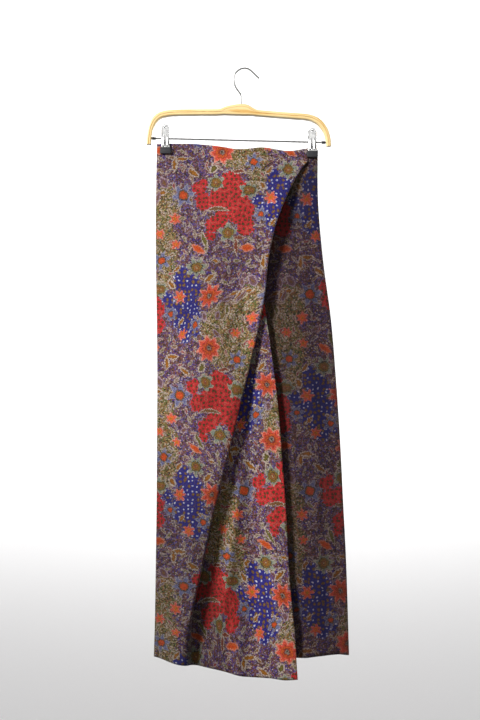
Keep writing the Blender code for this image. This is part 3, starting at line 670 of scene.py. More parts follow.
# Camera and stage.
CAMERA_AT = Vector((-0.0093, -2.065, -0.6008))
LENS = 50.0                  # millimetres, on a sensor this wide
SENSOR = 36.0
FLOOR_AT = -1.420
FLOOR_FRONT = -5.000         # the pale sweep behind the trousers: its front edge, where it starts
SWEEP_FROM = 3.200           # to rise, and the radius and height of the rise
SWEEP_BEND = 1.600
SWEEP_TOP = 4.500
SWEEP_STEPS = 24
STAGE_SIZE = 12.0
AIR = 0.09                   # light of the room air on the pieces, slightly blue
AIR_TINT = (0.97, 0.98, 1.0, 1.0)
GLOW = 0.92                  # and how bright the room looks past the sweep
LIGHTS = table(
    "name         x      y      z     aim_y   aim    size  power  lights",
    ("window", -2.60, -2.40, 1.30, 0.00, -0.50, 0.75, 242.0, "pieces"),
    ("card", 0.15, -2.40, -0.05, 0.00, -0.30, 1.80, 8.0, "pieces"),
    ("back_card", 0.90, 1.90, 0.60, 0.00, -0.60, 1.20, 58.0, "pieces"),
    ("side_card", 2.60, 0.55, -0.10, 0.00, -0.60, 1.00, 40.0, "pieces"),
    ("wash_left", -2.20, 3.00, 2.60, 4.80, 0.60, 1.20, 166.0, "stage"),
    ("wash_right", 2.20, 3.00, 2.60, 4.80, 0.60, 1.20, 158.0, "stage"),
    ("wash_floor", 0.00, 0.60, 2.80, 0.80, -1.42, 1.20, 12.0, "stage"),
    ("front_left", -2.60, -4.40, 3.00, -4.40, -1.42, 1.60, 90.0, "stage"),
    ("front_right", 2.60, -4.40, 3.00, -4.40, -1.42, 1.60, 90.0, "stage"),
)


def linear(colour):
    """An sRGB hex colour as linear red, green and blue."""
    parts = [int(colour[i:i + 2], 16) / 255 for i in (1, 3, 5)]
    return tuple(p / 12.92 if p <= 0.04045 else ((p + 0.055) / 1.055) ** 2.4 for p in parts)


def colour_property(name, description, colour):
    """A colour that a user can change."""
    return FloatVectorProperty(
        name=name, description=description, subtype="COLOR", size=3, min=0.0, max=1.0,
        default=linear(colour))


def length_property(name, description, default):
    """A length in metres that a user can change."""
    return FloatProperty(
        name=name, description=description, default=default, min=0.0, unit="LENGTH",
        subtype="DISTANCE", precision=5)


class WrapPantsSizes(bpy.types.PropertyGroup):
    """Sizes of the cloth's finish and its sewing."""

    cloth: length_property("Cloth", "Thickness of the cotton", 0.0008)
    hem: length_property("Hem", "Depth of the turned hems at the bottom", 0.018)
    edge_hem: length_property("Edge Hem", "Depth of the narrow hem of the wrap's free edge", 0.007)
    hem_step: length_property("Hem Step", "How far a turned hem stands proud", 0.0005)
    stitch: length_property("Stitch", "Length of one stitch", 0.0024)
    stitch_pitch: length_property("Stitch Pitch", "From one stitch to the next", 0.0033)
    thread: length_property("Thread", "Half the thickness of the thread", 0.00022)
    crease: FloatProperty(
        name="Crease", description="How strongly the creases stand", default=1.0, min=0.0,
        max=1.5, subtype="FACTOR")


class WrapPantsColours(bpy.types.PropertyGroup):
    """Colours of the print and of the hanger."""

    red: colour_property("Red", "Red patches of the print", "#D43234")
    navy: colour_property("Navy", "Navy patches of the print", "#302E92")
    purple: colour_property("Purple", "Purple ground of the print", "#70464F")
    olive: colour_property("Olive", "Olive ground of the print", "#86743E")
    brown: colour_property("Brown", "Brown of leaves, florets and outlines", "#84603A")
    coral: colour_property("Coral", "Petals of the coral flowers", "#E65C44")
    orange: colour_property("Orange", "Orange leaves and flower centres", "#DA6426")
    lavender: colour_property("Lavender", "Lavender petals and halos", "#868AB0")
    celadon: colour_property("Celadon", "Celadon petals", "#8E9E90")
    cream: colour_property("Cream", "Undyed cotton of the outlines", "#CFC5B8")
    dark: colour_property("Dark", "Darkest dye, between the dots", "#40302E")
    thread: colour_property("Thread", "Sewing thread", "#4A3034")
    wood: colour_property("Wood", "Varnished wood of the arm", "#F2D698")
    wood_grain: colour_property("Wood Grain", "Darker grain of the arm", "#E0B060")
    steel: colour_property("Steel", "Bright plated steel", "#EAEAE8")
    wire: colour_property("Wire", "Duller wire of the hook and the rod", "#9A9A98")
    rubber: colour_property("Rubber", "Rubber boots and caps", "#1A1A1E")
    paper: colour_property("Paper", "Background paper behind", "#F1F0F0")


def smooth(value):
    """Ease from 0 to 1, level at both ends."""
    t = np.clip(value, 0.0, 1.0)
    return t * t * (3 - 2 * t)


def read(rows, key, name, at):
    """Column `name` of a table at the values `at` of its column `key`, as a smooth curve."""
    ordered = sorted(rows, key=lambda row: row[key])
    places = np.array([row[key] for row in ordered])
    values = np.array([row[name] for row in ordered])
    steps = np.arange(len(ordered))
    before = np.maximum(steps - 1, 0)
    after = np.minimum(steps + 1, len(ordered) - 1)
    slopes = (values[after] - values[before]) / (places[after] - places[before])
    at = np.clip(at, places[0], places[-1])
    i = np.clip(np.searchsorted(places, at, side="right") - 1, 0, len(ordered) - 2)
    span = places[i + 1] - places[i]
    t = (at - places[i]) / span
    start = values[i] * (2 * t**3 - 3 * t**2 + 1) + slopes[i] * span * (t**3 - 2 * t**2 + t)
    return start + values[i + 1] * (3 * t**2 - 2 * t**3) + slopes[i + 1] * span * (t**3 - t**2)


def smooth_path(rows, steps):
    """Points of a table's rows, joined by a smooth curve with `steps` points to each row."""
    names = list(rows[0])
    points = []
    for i in range(len(rows) - 1):
        around = [rows[max(i - 1, 0)], rows[i], rows[i + 1], rows[min(i + 2, len(rows) - 1)]]
        for k in range(steps):
            t = k / steps
            point = {}
            for name in names:
                a, b, c, d = (row[name] for row in around)
                bend = (c - a) * t + (2 * a - 5 * b + 4 * c - d) * t**2
                point[name] = b + 0.5 * (bend + (3 * b - a - 3 * c + d) * t**3)
            points.append(point)
    points.append(dict(rows[-1]))
    return points


def seams(z):
    """x of the two side seams at a height."""
    return read(OUTLINE, "z", "right_seam", z), read(OUTLINE, "z", "left_seam", z)


def leg_gap(z):
    """Half the gap between the two legs."""
    below = (CROTCH - z) / (CROTCH - LEG_HEM[0]["z"])
    return SEAM / 2 + HEM_PARTING * np.clip(below, 0.0, 1.0)


def bulge(x, z):
    """Half the hollow between the front and the back of the trousers."""
    low, high = seams(z)
    middle = (low + high) / 2
    hip = HIP_BULGE * np.sin(math.pi * np.clip((x - low) / (high - low), 0.0, 1.0))
    from_clip = (x - PINCHED[0]) / (PINCHED[1] - PINCHED[0])
    waist = WAIST_BULGE * np.sin(math.pi * np.clip(from_clip, 0.0, 1.0)) ** 2
    upper = waist + (hip - waist) * smooth((PINCH - z) / PINCH_EASE)
    inner = leg_gap(z)
    right = (x - low) / (middle - inner - low)
    left = (high - x) / (high - middle - inner)
    across_leg = np.clip(np.where(x < middle, right, left), 0.0, 1.0)
    leg = LEG_BULGE * np.sin(math.pi * across_leg)
    return upper + (leg - upper) * smooth((CROTCH + CROTCH_EASE - z) / CROTCH_EASE)


def creases(x, z, layer):
    """How far the creases bring a layer of cloth outward."""
    strength = bpy.context.scene.wrap_pants_sizes.crease
    out = np.zeros_like(x)
    for crease in CREASES:
        if crease["layer"] != layer:
            continue
        down = (crease["top_z"] - z) / (crease["top_z"] - crease["end_z"])
        middle = crease["top_x"] + (crease["end_x"] - crease["top_x"]) * down
        across = (x - middle) / crease["spread"]
        rise = np.sin(math.pi * np.clip(down, 0.0, 1.0))
        out += strength * crease["height"] * rise * np.exp(-across * across)
    return out


def ripple(x, z):
    """Slight unevenness of hanging cotton, fading out at the jaws."""
    out = np.zeros_like(x)
    for wave in RIPPLES:
        turn = math.tau * (wave["sideways"] * x / 2 + wave["down"] * z / 2) + wave["phase"]
        out += wave["height"] * np.sin(turn)
    return out * smooth((PINCH - z) / PINCH_EASE)


def row_heights(j, rows, x, hem):
    """Heights of a row of cloth. The first rows run from the waist to the foot of the jaws."""
    waist = read(WAIST_EDGE, "x", "z", x)
    upper = waist + (PINCH - waist) * j / PINCH_ROWS
    down = np.clip((j - PINCH_ROWS) / (rows - PINCH_ROWS), 0.0, 1.0)
    lower = PINCH + (hem - PINCH) * down**ROW_CROWDING
    return np.where(j <= PINCH_ROWS, upper, lower)


def fold_at(z):
    """The fold's sizes at some heights, with the place where its first turn starts."""
    fold = {name: read(FOLD, "z", name, z) for name in ("width", "crest", "back", "turn", "bend")}
    fold["turn"] = np.radians(fold["turn"])
    crest_reach = fold["bend"] / fold["turn"] * np.sin(np.minimum(fold["turn"], math.pi / 2))
    fold["start"] = fold["crest"] - seams(z)[0] - crest_reach
    fold["turned"] = fold["start"] + 2 * fold["bend"] + fold["back"]
    return fold


def walk(along, fold):
    """How far the cloth has gone sideways and back, at a distance along it."""
    bend, back, turn = fold["bend"], fold["back"], fold["turn"]
    radius = bend / turn
    left = along - fold["start"]
    first = turn * np.clip(left / bend, 0.0, 1.0)
    x = np.minimum(along, fold["start"]) + radius * np.sin(first)
    y = radius * (1 - np.cos(first))
    straight = np.clip(left - bend, 0.0, back)
    x = x + straight * np.cos(turn)
    y = y + straight * np.sin(turn)
    left = left - bend - back
    second = turn * (1 - np.clip(left / bend, 0.0, 1.0))
    x = x + radius * (np.sin(turn) - np.sin(second))
    y = y + radius * (np.cos(second) - np.cos(turn))
    return x + np.maximum(left - bend, 0.0), y


def wrap_columns(z, segment, share):
    """Distances along the wrap of its columns: their stretch of the fold and their share of it."""
    fold = fold_at(z)
    ends = [np.zeros_like(z), np.minimum(fold["start"], fold["width"])]
    for name in ("bend", "back", "bend"):
        ends.append(ends[-1] + fold[name])
    ends.append(np.maximum(fold["width"], ends[-1]))
    ends = np.stack(ends)
    low = np.take_along_axis(ends, segment[None], 0)[0]
    high = np.take_along_axis(ends, segment[None] + 1, 0)[0]
    place = low + (high - low) * share
    return np.where(fold["width"] - place < EDGE_SNAP, fold["width"], place)


def wrap_middle(along, z):
    """Points in the middle of the wrap's cloth: distance from the side seam, and height."""
    sizes = bpy.context.scene.wrap_pants_sizes
    fold = fold_at(z)
    side = seams(z)[0]
    step, back = walk(along, fold)
    x = side + step
    depth = walk(fold["width"], fold)[1]
    away = smooth((x - side) / WRAP_AIR_SIDE)
    air = WRAP_AIR * away * smooth((PINCH - z) / PINCH_EASE)
    forward = depth * smooth(along / fold["start"]) - back
    over = 1 - smooth((along - fold["start"] + fold["bend"]) / fold["bend"])
    strip = smooth((along - fold["turned"]) / fold["bend"])
    forward = forward + creases(x, z, "over") * over + creases(x, z, "strip") * strip
    forward = forward + ripple(x, z) * away
    free = smooth((PINCH - z) / PINCH_EASE)
    from_crest = np.maximum(fold["start"] - along, 0.0) / CREST_SPREAD
    crest = np.exp(-from_crest**2) * (1 - smooth((along - fold["start"]) / fold["bend"]))
    forward = forward + CREST_STAND * crest * free * smooth(fold["back"] / CREST_BACK)
    from_edge = (along - fold["width"] + EDGE_SPREAD) / EDGE_SPREAD
    loose = smooth((LOOSE_FROM - z) / LOOSENING)
    forward = forward + EDGE_FLARE * smooth(from_edge) * strip * loose
    hem = read(WRAP_HEM, "along", "z", along) + sizes.hem - z
    edge = along - fold["width"] + sizes.edge_hem
    turned = np.maximum(smooth(hem / HEM_RISE), smooth(edge / EDGE_HEM_RISE))
    forward = forward + sizes.hem_step * turned * (over + strip)
    return np.stack([x, -WRAP_MIDDLE - bulge(x, z) - air - forward, z], -1)


def leg_x(across, z, wearer_side):
    """x of a leg panel's column, from its side seam or the centre."""
    low, high = seams(z)
    middle = (low + high) / 2
    gap = leg_gap(z)
    if wearer_side == "right":
        return low + (middle - gap - low) * across
    return middle + gap + (high - middle - gap) * across


def leg_middle(x, z, name):
    """Points in the middle of a leg panel's cloth."""
    sizes = bpy.context.scene.wrap_pants_sizes
    low, high = seams(z)
    from_seam = np.minimum(x - low, high - x)
    drawn = smooth(from_seam / SEAM_DRAW)
    out = SEAM_MIDDLE + (LEG_MIDDLE - SEAM_MIDDLE) * drawn + bulge(x, z)
    fade = smooth(from_seam / SEAM_CALM) * smooth(bulge(x, z) / HOLLOW_CALM)
    out = out + (creases(x, z, name) + ripple(x + RIPPLE_SHIFT, z)) * fade
    if name.endswith("front"):
        out = out - LEG_SETBACK * fade
    hem = read(LEG_HEM, "x", "z", x) + sizes.hem - z
    out = out + sizes.hem_step * smooth(hem / HEM_RISE) * fade
    return np.stack([x, -out if name.endswith("front") else out, z], -1)


def print_shift(x, z, layer):
    """How far the print lies across and down from the plain measure, on one layer of the wrap."""
    rows = [row for row in PRINT_PLACES if row["layer"] == layer]
    px = np.array([row["x"] for row in rows])
    pz = np.array([row["z"] for row in rows])
    fold = fold_at(pz)
    side = seams(pz)[0]
    along = px - side
    if layer == "strip":
        along = fold["turned"] + np.maximum(px - side - walk(fold["turned"], fold)[0], 0.0)
    shift_across = np.array([row["across"] for row in rows]) - along
    shift_down = np.array([row["down"] for row in rows]) + pz
    far = (x[..., None] - px) ** 2 + (z[..., None] - pz) ** 2
    weight = 1.0 / (far + PRINT_REACH**2) ** 2
    total = weight.sum(-1)
    return (weight * shift_across).sum(-1) / total, (weight * shift_down).sum(-1) / total


def wrap_print(along, x, z):
    """Place in the print of each point of the wrap."""
    fold = fold_at(z)
    over = print_shift(x, z, "over")
    strip = print_shift(x, z, "strip")
    t = smooth((along - fold["start"]) / (fold["turned"] - fold["start"]))
    across = along + over[0] * (1 - t) + strip[0] * t
    down = -z + over[1] * (1 - t) + strip[1] * t
    return np.stack([across, down], -1)


def scaled(count):
    return count


def make_piece(name, points, faces, finishes, uv=None, closed=False):
    """A mesh object from points and faces, with the place in the print or grain of each corner."""
    mesh = bpy.data.meshes.new(name)
    mesh.from_pydata([tuple(point) for point in points], [], [tuple(face) for face in faces])
    if uv is not None:
        layer = mesh.uv_layers.new(name="Print")
        layer.data.foreach_set("uv", np.asarray(uv, dtype=np.float32).ravel())
    for finish in finishes:
        mesh.materials.append(finish)
    if closed:
        bm = bmesh.new()
        bm.from_mesh(mesh)
        bmesh.ops.recalc_face_normals(bm, faces=bm.faces)
        bm.to_mesh(mesh)
        bm.free()
    mesh.shade_smooth()
    mesh.set_sharp_from_angle(angle=math.radians(SHARP_ANGLE))
    made = bpy.data.objects.new(name, mesh)
    bpy.context.collection.objects.link(made)
    return made


def hang(made, slot, *nodes):
    """Fix a piece to the hanger's body and let it stand for its CAD nodes. The slot is not used."""
    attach(made, "root")
    if nodes:
        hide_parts(*nodes)


def sheet_faces(rows, columns, inward=False):
    """Four-cornered faces over a grid of points."""
    index = np.arange(rows * columns).reshape(rows, columns)
    corners = [index[:-1, :-1], index[1:, :-1], index[1:, 1:], index[:-1, 1:]]
    if inward:
        corners.reverse()
    return np.stack(corners, -1).reshape(-1, 4)


def make_cloth(name, points, prints, finish, inward=False):
    """A sheet of cloth from a grid of points, made solid about its middle."""
    rows, columns = points.shape[:2]
    faces = sheet_faces(rows, columns, inward)
    uv = prints.reshape(-1, 2)[faces.ravel()]
    cloth = make_piece(name, points.reshape(-1, 3), faces, [finish], uv)
    bm = bmesh.new()
    bm.from_mesh(cloth.data)
    bmesh.ops.remove_doubles(bm, verts=bm.verts, dist=WELD)
    bmesh.ops.dissolve_degenerate(bm, edges=bm.edges, dist=SLIVER)
    bm.to_mesh(cloth.data)
    bm.free()
    wall = cloth.modifiers.new("Cloth", "SOLIDIFY")
    wall.thickness = bpy.context.scene.wrap_pants_sizes.cloth
    wall.offset = 0.0
    return cloth


def loft(name, rings, finishes, dark=(), closed=False):
    """A skin over closed rings of points. Stretches round the ring that are in `dark` take the
    second finish. The grain runs from ring to ring."""
    sides = len(rings[0])
    points = [point for ring in rings for point in ring]
    centres = [sum(ring, Vector()) / sides for ring in rings]
    distances = [0.0]
    for low, high in zip(centres, centres[1:]):
        distances.append(distances[-1] + (high - low).length)
    if closed:
        distances.append(distances[-1] + (centres[0] - centres[-1]).length)
    faces, uv, dark_faces = [], [], []
    spans = len(rings) if closed else len(rings) - 1
    for i in range(spans):
        after = (i + 1) % len(rings)
        for k in range(sides):
            j = (k + 1) % sides
            if k in dark:
                dark_faces.append(len(faces))
            corners = (i * sides + k, i * sides + j, after * sides + j, after * sides + k)
            faces.append(corners)
            near, far = distances[i], distances[i + 1]
            uv += [(near, k / sides), (near, (k + 1) / sides), (far, (k + 1) / sides),
                   (far, k / sides)]
    if not closed:
        for end in (0, len(rings) - 1):
            faces.append(tuple(end * sides + k for k in range(sides)))
            uv += [(distances[end], k / sides) for k in range(sides)]
    made = make_piece(name, points, faces, finishes, uv, closed=True)
    for face in dark_faces:
        made.data.polygons[face].material_index = 1
    return made


def circle(count):
    """Angles of some points round a circle."""
    return [math.tau * k / count for k in range(count)]


def corner(quarter, half_one, half_two, rounding):
    """Points round one corner of a rounded rectangle, by two measures from its middle."""
    sign_one, sign_two = ((1, 1), (-1, 1), (-1, -1), (1, -1))[quarter]
    points = []
    for k in range(CORNER_STEPS + 1):
        angle = math.pi / 2 * (quarter + k / CORNER_STEPS)
        points.append((sign_one * (half_one - rounding) + rounding * math.cos(angle),
                       sign_two * (half_two - rounding) + rounding * math.sin(angle)))
    return points


def wire_rings(path, radii, sides):
    """Round rings along a path, each turned as little as it can be from the last."""
    rings = []
    normal = None
    for i, point in enumerate(path):
        tangent = (path[min(i + 1, len(path) - 1)] - path[max(i - 1, 0)]).normalized()
        if normal is None:
            normal = tangent.orthogonal().normalized()
        normal = (normal - tangent * normal.dot(tangent)).normalized()
        side = tangent.cross(normal)
        rings.append([point + (normal * math.cos(angle) + side * math.sin(angle)) * radii[i]
                      for angle in circle(sides)])
    return rings


def settle(made):
    """Keep the shape that an object's modifiers give, without the modifiers."""
    shape = made.evaluated_get(bpy.context.evaluated_depsgraph_get())
    settled = bpy.data.meshes.new_from_object(shape)
    made.modifiers.clear()
    made.data = settled


def cut_out(target, cutters):
    """Take some shapes out of a piece, and put them away."""
    for cutter in cutters:
        difference = target.modifiers.new("Cut", "BOOLEAN")
        difference.object = cutter
        difference.solver = "EXACT"
    settle(target)
    for cutter in cutters:
        bpy.data.objects.remove(cutter, do_unlink=True)


def shade(colour):
    """A hex colour, or the name of one that a user can change, as linear values."""
    if not isinstance(colour, str):
        return tuple(colour)
    if colour.startswith("#"):
        return linear(colour)
    return tuple(getattr(bpy.context.scene.wrap_pants_colours, colour))


def set_stops(ramp, stops, mode):
    """Give a colour ramp its stops: place, colour and how much it covers, all if not told."""
    ramp.interpolation = mode
    while len(ramp.elements) > 1:
        ramp.elements.remove(ramp.elements[-1])
    for number, (place, colour, *cover) in enumerate(stops):
        element = ramp.elements[0] if number == 0 else ramp.elements.new(place)
        element.position = place
        element.color = (*shade(colour), *(cover or [1.0]))


def put(tree, kind, *values, named=None, stops=None, mode="CONSTANT", **settings):
    """Add a node with its settings. Its kind has its operation behind it, if any. Its inputs are
    values in order or by name, each a number, a colour's name or another node's socket."""
    kind, _, operation = kind.partition(" ")
    node = tree.nodes.new("ShaderNode" + kind)
    if operation:
        node.operation = operation
    for key, value in settings.items():
        setattr(node, key, value)
    for key, value in [*enumerate(values), *(named or {}).items()]:
        if isinstance(value, bpy.types.NodeSocket):
            tree.links.new(value, node.inputs[key])
        elif isinstance(value, str):
            node.inputs[key].default_value = (*shade(value), 1.0)
        else:
            node.inputs[key].default_value = value
    if stops:
        set_stops(node.color_ramp, stops, mode)
    return node.outputs


def new_material(name, **shader_values):
    """A material with its shader's fixed values set. Returns it, its tree and the shader."""
    made = bpy.data.materials.new(name)
    made.use_nodes = True
    tree = made.node_tree
    shader = tree.nodes["Principled BSDF"]
    for key, value in shader_values.items():
        shader.inputs[key.replace("_", " ")].default_value = value
    return made, tree, shader


def copies(across, down, reach):
    """Places of one motif's repeats that touch the chart's first column."""
    column = math.floor(across / COLUMN)
    across, down = across - column * COLUMN, (down - column * DROP) % REPEAT
    places = []
    for side in (-1, 0, 1):
        for step in (-2, -1, 0, 1, 2):
            x = across + side * COLUMN
            y = down + side * DROP + step * REPEAT
            if -reach < x < COLUMN + reach and -reach < y < REPEAT + reach:
                places.append((x, y, 0.0))
    return places


def chart_patch(tree, cell, rounds):
    """How far outside a patch of run-together rounds each point lies, in squares."""
    nearest = None
    for row in rounds:
        for place in copies(row["across"], row["down"], row["reach"] + PATCH_BLEND):
            far = put(tree, "VectorMath DISTANCE", cell, place)[1]
            edge = put(tree, "Math SUBTRACT", far, row["reach"])[0]
            if nearest is None:
                nearest = edge
            else:
                nearest = put(tree, "Math SMOOTH_MIN", nearest, edge, PATCH_BLEND)[0]
    return nearest


def chart_flower(tree, cell, flower, place):
    """Share of a flower's reach at each point: 0 in its centre, 1 along the edge of its petals."""
    off = put(tree, "VectorMath SUBTRACT", cell, place)[0]
    far = put(tree, "VectorMath LENGTH", off)[1]
    parts = put(tree, "SeparateXYZ", off)
    angle = put(tree, "Math ARCTAN2", parts[1], parts[0])[0]
    turned = put(tree, "Math ADD", angle, math.radians(flower["turn"]) + math.tau)[0]
    half = math.pi / flower["petals"]
    from_tip = put(tree, "Math PINGPONG", turned, half)[0]
    loss = -flower["reach"] * (1 - flower["inner"]) / half
    edge = put(tree, "Math MULTIPLY_ADD", from_tip, loss, flower["reach"])[0]
    return put(tree, "Math DIVIDE", far, edge)[0]


def chart_eye(tree, cell, flower, place):
    """Share of the reach of a flower's round centre at each point."""
    far = put(tree, "VectorMath DISTANCE", cell, place)[1]
    return put(tree, "Math DIVIDE", far, flower["eye"])[0]


def chart_leaf(tree, cell, leaf, place):
    """As for a flower: a pointed leaf is where two large rounds overlap."""
    length, width = leaf["half_length"], leaf["half_width"] * LEAF_FULLNESS
    large = (length**2 + width**2) / (2 * width)
    angle = math.radians(leaf["turn"])
    aside = Vector((-math.sin(angle), math.cos(angle), 0.0)) * (large - width)
    one, two = (put(tree, "VectorMath DISTANCE", cell, Vector(place) + way * aside)[1]
                for way in (1, -1))
    far = put(tree, "Math MAXIMUM", one, two)[0]
    return put(tree, "Math MULTIPLY_ADD", far, 1 / width, 1 - large / width)[0]


def paint_motifs(tree, cell, under, rows, shape, kind, rings):
    """Paint every motif of one kind over the colour under it, ring by ring from its centre."""
    nearest = None
    for row in rows:
        if row["kind"] != kind:
            continue
        reach = row.get("reach") or row["half_length"]
        for place in copies(row["across"], row["down"], reach + OUTLINE_REACH):
            share = shape(tree, cell, row, place)
            if nearest is None:
                nearest = share
            else:
                nearest = put(tree, "Math MINIMUM", nearest, share)[0]
    share = put(tree, "Math MULTIPLY", nearest, 1 / RING_REACH)[0]
    stops = [(start / RING_REACH, dye) for start, dye in zip(rings[:-1:2], rings[1::2])]
    stops.append((rings[-1] / RING_REACH, rings[-2], 0.0))
    ring = put(tree, "ValToRGB", share, stops=stops)
    return put(tree, "Mix", named={0: ring[1], 6: under, 7: ring[0]}, data_type="RGBA")[2]


def filler_leaves(tree, drawn, colour):
    """Paint a small outlined leaf, turned at random, at every cell of a loose grid."""
    cells = put(tree, "TexVoronoi", voronoi_dimensions="2D", named={
        "Vector": drawn, "Scale": 1 / FILLER_SPACING, "Randomness": FILLER_LOOSENESS})
    lot = put(tree, "SeparateColor", cells[1])
    off = put(tree, "VectorMath SUBTRACT", drawn, cells[2])[0]
    angle = put(tree, "Math MULTIPLY", lot[0], math.tau)[0]
    turned = put(tree, "VectorRotate", named={"Vector": off, "Angle": angle},
                 rotation_type="Z_AXIS")[0]
    folded = put(tree, "VectorMath ABSOLUTE", turned)[0]
    large = (FILLER_LENGTH**2 + FILLER_WIDTH**2) / (2 * FILLER_WIDTH)
    aside = put(tree, "VectorMath ADD", folded, (0.0, large - FILLER_WIDTH, 0.0))[0]
    flat = put(tree, "VectorMath MULTIPLY", aside, (1.0, 1.0, 0.0))[0]
    far = put(tree, "VectorMath LENGTH", flat)[1]
    past = put(tree, "Math SUBTRACT", far, large)[0]
    rim = put(tree, "MapRange", past, 0.0, FILLER_RIM, FILLER_RIM_STRENGTH, 0.0)[0]
    colour = put(tree, "Mix", named={0: rim, 6: colour, 7: "cream"}, data_type="RGBA")[2]
    inside = put(tree, "Math LESS_THAN", past, -2 * FILLER_RIM)[0]
    dyes = put(tree, "ValToRGB", lot[1], stops=FILLER_DYES)[0]
    return put(tree, "Mix", named={0: inside, 6: colour, 7: dyes}, data_type="RGBA")[2]


def chart_places(tree, uv):
    """Squares of the chart at each point: plain, swayed as a hand draws, and trembling too. Last,
    the trembling ones brought back into the first column of the repeat."""
    chart = put(tree, "VectorMath MULTIPLY", uv, (1 / CHART_SQUARE,) * 3)[0]
    places = [chart]
    for row in HAND:
        noise = put(tree, "TexNoise", noise_dimensions="2D", named={
            "Vector": chart, "Scale": row["waves"], "Detail": row["detail"]})[1]
        off = put(tree, "VectorMath SUBTRACT", noise, (0.5, 0.5, 0.5))[0]
        sway = (row["sway"], row["sway"], 0.0)
        places.append(put(tree, "VectorMath MULTIPLY_ADD", off, sway, places[-1])[0])
    parts = put(tree, "SeparateXYZ", places[-1])
    share = put(tree, "Math MULTIPLY", parts[0], 1 / COLUMN)[0]
    column = put(tree, "Math FLOOR", share)[0]
    x = put(tree, "Math MULTIPLY_ADD", column, -COLUMN, parts[0])[0]
    dropped = put(tree, "Math MULTIPLY_ADD", column, -DROP, parts[1])[0]
    y = put(tree, "Math WRAP", dropped, REPEAT, 0.0)[0]
    return *places, put(tree, "CombineXYZ", x, y)[0]


def paint_ground(tree, chart, drawn, cell):
    """Dots of several dyes side by side, purple for the most part, olive in broad rounds, under
    fine undyed vines and small outlined leaves."""
    speckles = put(tree, "TexVoronoi", voronoi_dimensions="2D", named={
        "Vector": chart, "Scale": 1 / SPECKLE, "Randomness": SPECKLE_LOOSENESS})
    lot = put(tree, "SeparateColor", speckles[1])
    purple, olive = (put(tree, "ValToRGB", lot[0], stops=dots)[0]
                     for dots in (PURPLE_DOTS, OLIVE_DOTS))
    edge = chart_patch(tree, cell, OLIVE_GROUND)
    limit = put(tree, "MapRange", lot[2], 0.0, 1.0, -GROUND_MIXING, GROUND_MIXING)[0]
    inside = put(tree, "Math LESS_THAN", edge, limit)[0]
    colour = put(tree, "Mix", named={0: inside, 6: purple, 7: olive}, data_type="RGBA")[2]
    vines = put(tree, "TexNoise", noise_dimensions="2D", named={
        "Vector": drawn, "Scale": 1 / VINE_SPACING, "Detail": VINE_DETAIL})[0]
    off = put(tree, "Math SUBTRACT", vines, 0.5)[0]
    off = put(tree, "Math ABSOLUTE", off)[0]
    vine = put(tree, "MapRange", off, 0.0, VINE_WIDTH, VINE_STRENGTH, 0.0)[0]
    tint = put(tree, "Mix", named={0: lot[1], 6: "cream", 7: "lavender"}, data_type="RGBA")[2]
    colour = put(tree, "Mix", named={0: vine, 6: colour, 7: tint}, data_type="RGBA")[2]
    return filler_leaves(tree, drawn, colour)


def paint_patches(tree, swayed, cell, colour):
    """Red and navy patches full of small florets. The edge of a patch bulges round each floret
    that stands on it, petal by petal."""
    sprigs = put(tree, "TexVoronoi", voronoi_dimensions="2D", named={
        "Vector": swayed, "Scale": 1 / SPRIG_SPACING, "Randomness": SPRIG_LOOSENESS})
    red, white, brown = (put(tree, "ValToRGB", sprigs[0], stops=dots)[0]
                         for dots in (RED_FLORETS, WHITE_DOTS, BROWN_DOTS))
    lot = put(tree, "SeparateColor", sprigs[1])
    is_brown = put(tree, "Math GREATER_THAN", lot[0], WHITE_SHARE)[0]
    navy = put(tree, "Mix", named={0: is_brown, 6: white, 7: brown}, data_type="RGBA")[2]
    petal = put(tree, "Math MULTIPLY_ADD", sprigs[0], SPRIG_SPACING * SCALLOP,
                -SCALLOP_MIDDLE * SCALLOP)[0]
    for rounds, fill in ((RED_PATCH, red), (NAVY_PATCH, navy)):
        edge = chart_patch(tree, cell, rounds)
        edge = put(tree, "Math ADD", edge, petal)[0]
        halo = put(tree, "MapRange", edge, *PATCH_HALO, HALO_STRENGTH, 0.0)[0]
        colour = put(tree, "Mix", named={0: halo, 6: colour, 7: "lavender"},
                     data_type="RGBA")[2]
        inside = put(tree, "Math LESS_THAN", edge, 0.0)[0]
        colour = put(tree, "Mix", named={0: inside, 6: colour, 7: fill}, data_type="RGBA")[2]
    return colour


def paint_crescents(tree, cell, colour):
    """The crescent across the red patch: brown in an undyed rim."""
    for place in copies(CRESCENT["across"], CRESCENT["down"], CRESCENT["reach"] + CRESCENT_ROOM):
        lower = (place[0], place[1] + CRESCENT["cut"], 0.0)
        outer = put(tree, "VectorMath DISTANCE", cell, place)[1]
        inner = put(tree, "VectorMath DISTANCE", cell, lower)[1]
        past = put(tree, "Math SUBTRACT", outer, CRESCENT["reach"])[0]
        cut = put(tree, "Math SUBTRACT", CRESCENT["cut_reach"], inner)[0]
        far = put(tree, "Math MAXIMUM", past, cut)[0]
        for edge, dye in ((CRESCENT["rim"], "cream"), (0.0, "brown")):
            within = put(tree, "Math LESS_THAN", far, edge)[0]
            colour = put(tree, "Mix", named={0: within, 6: colour, 7: dye},
                         data_type="RGBA")[2]
    return colour


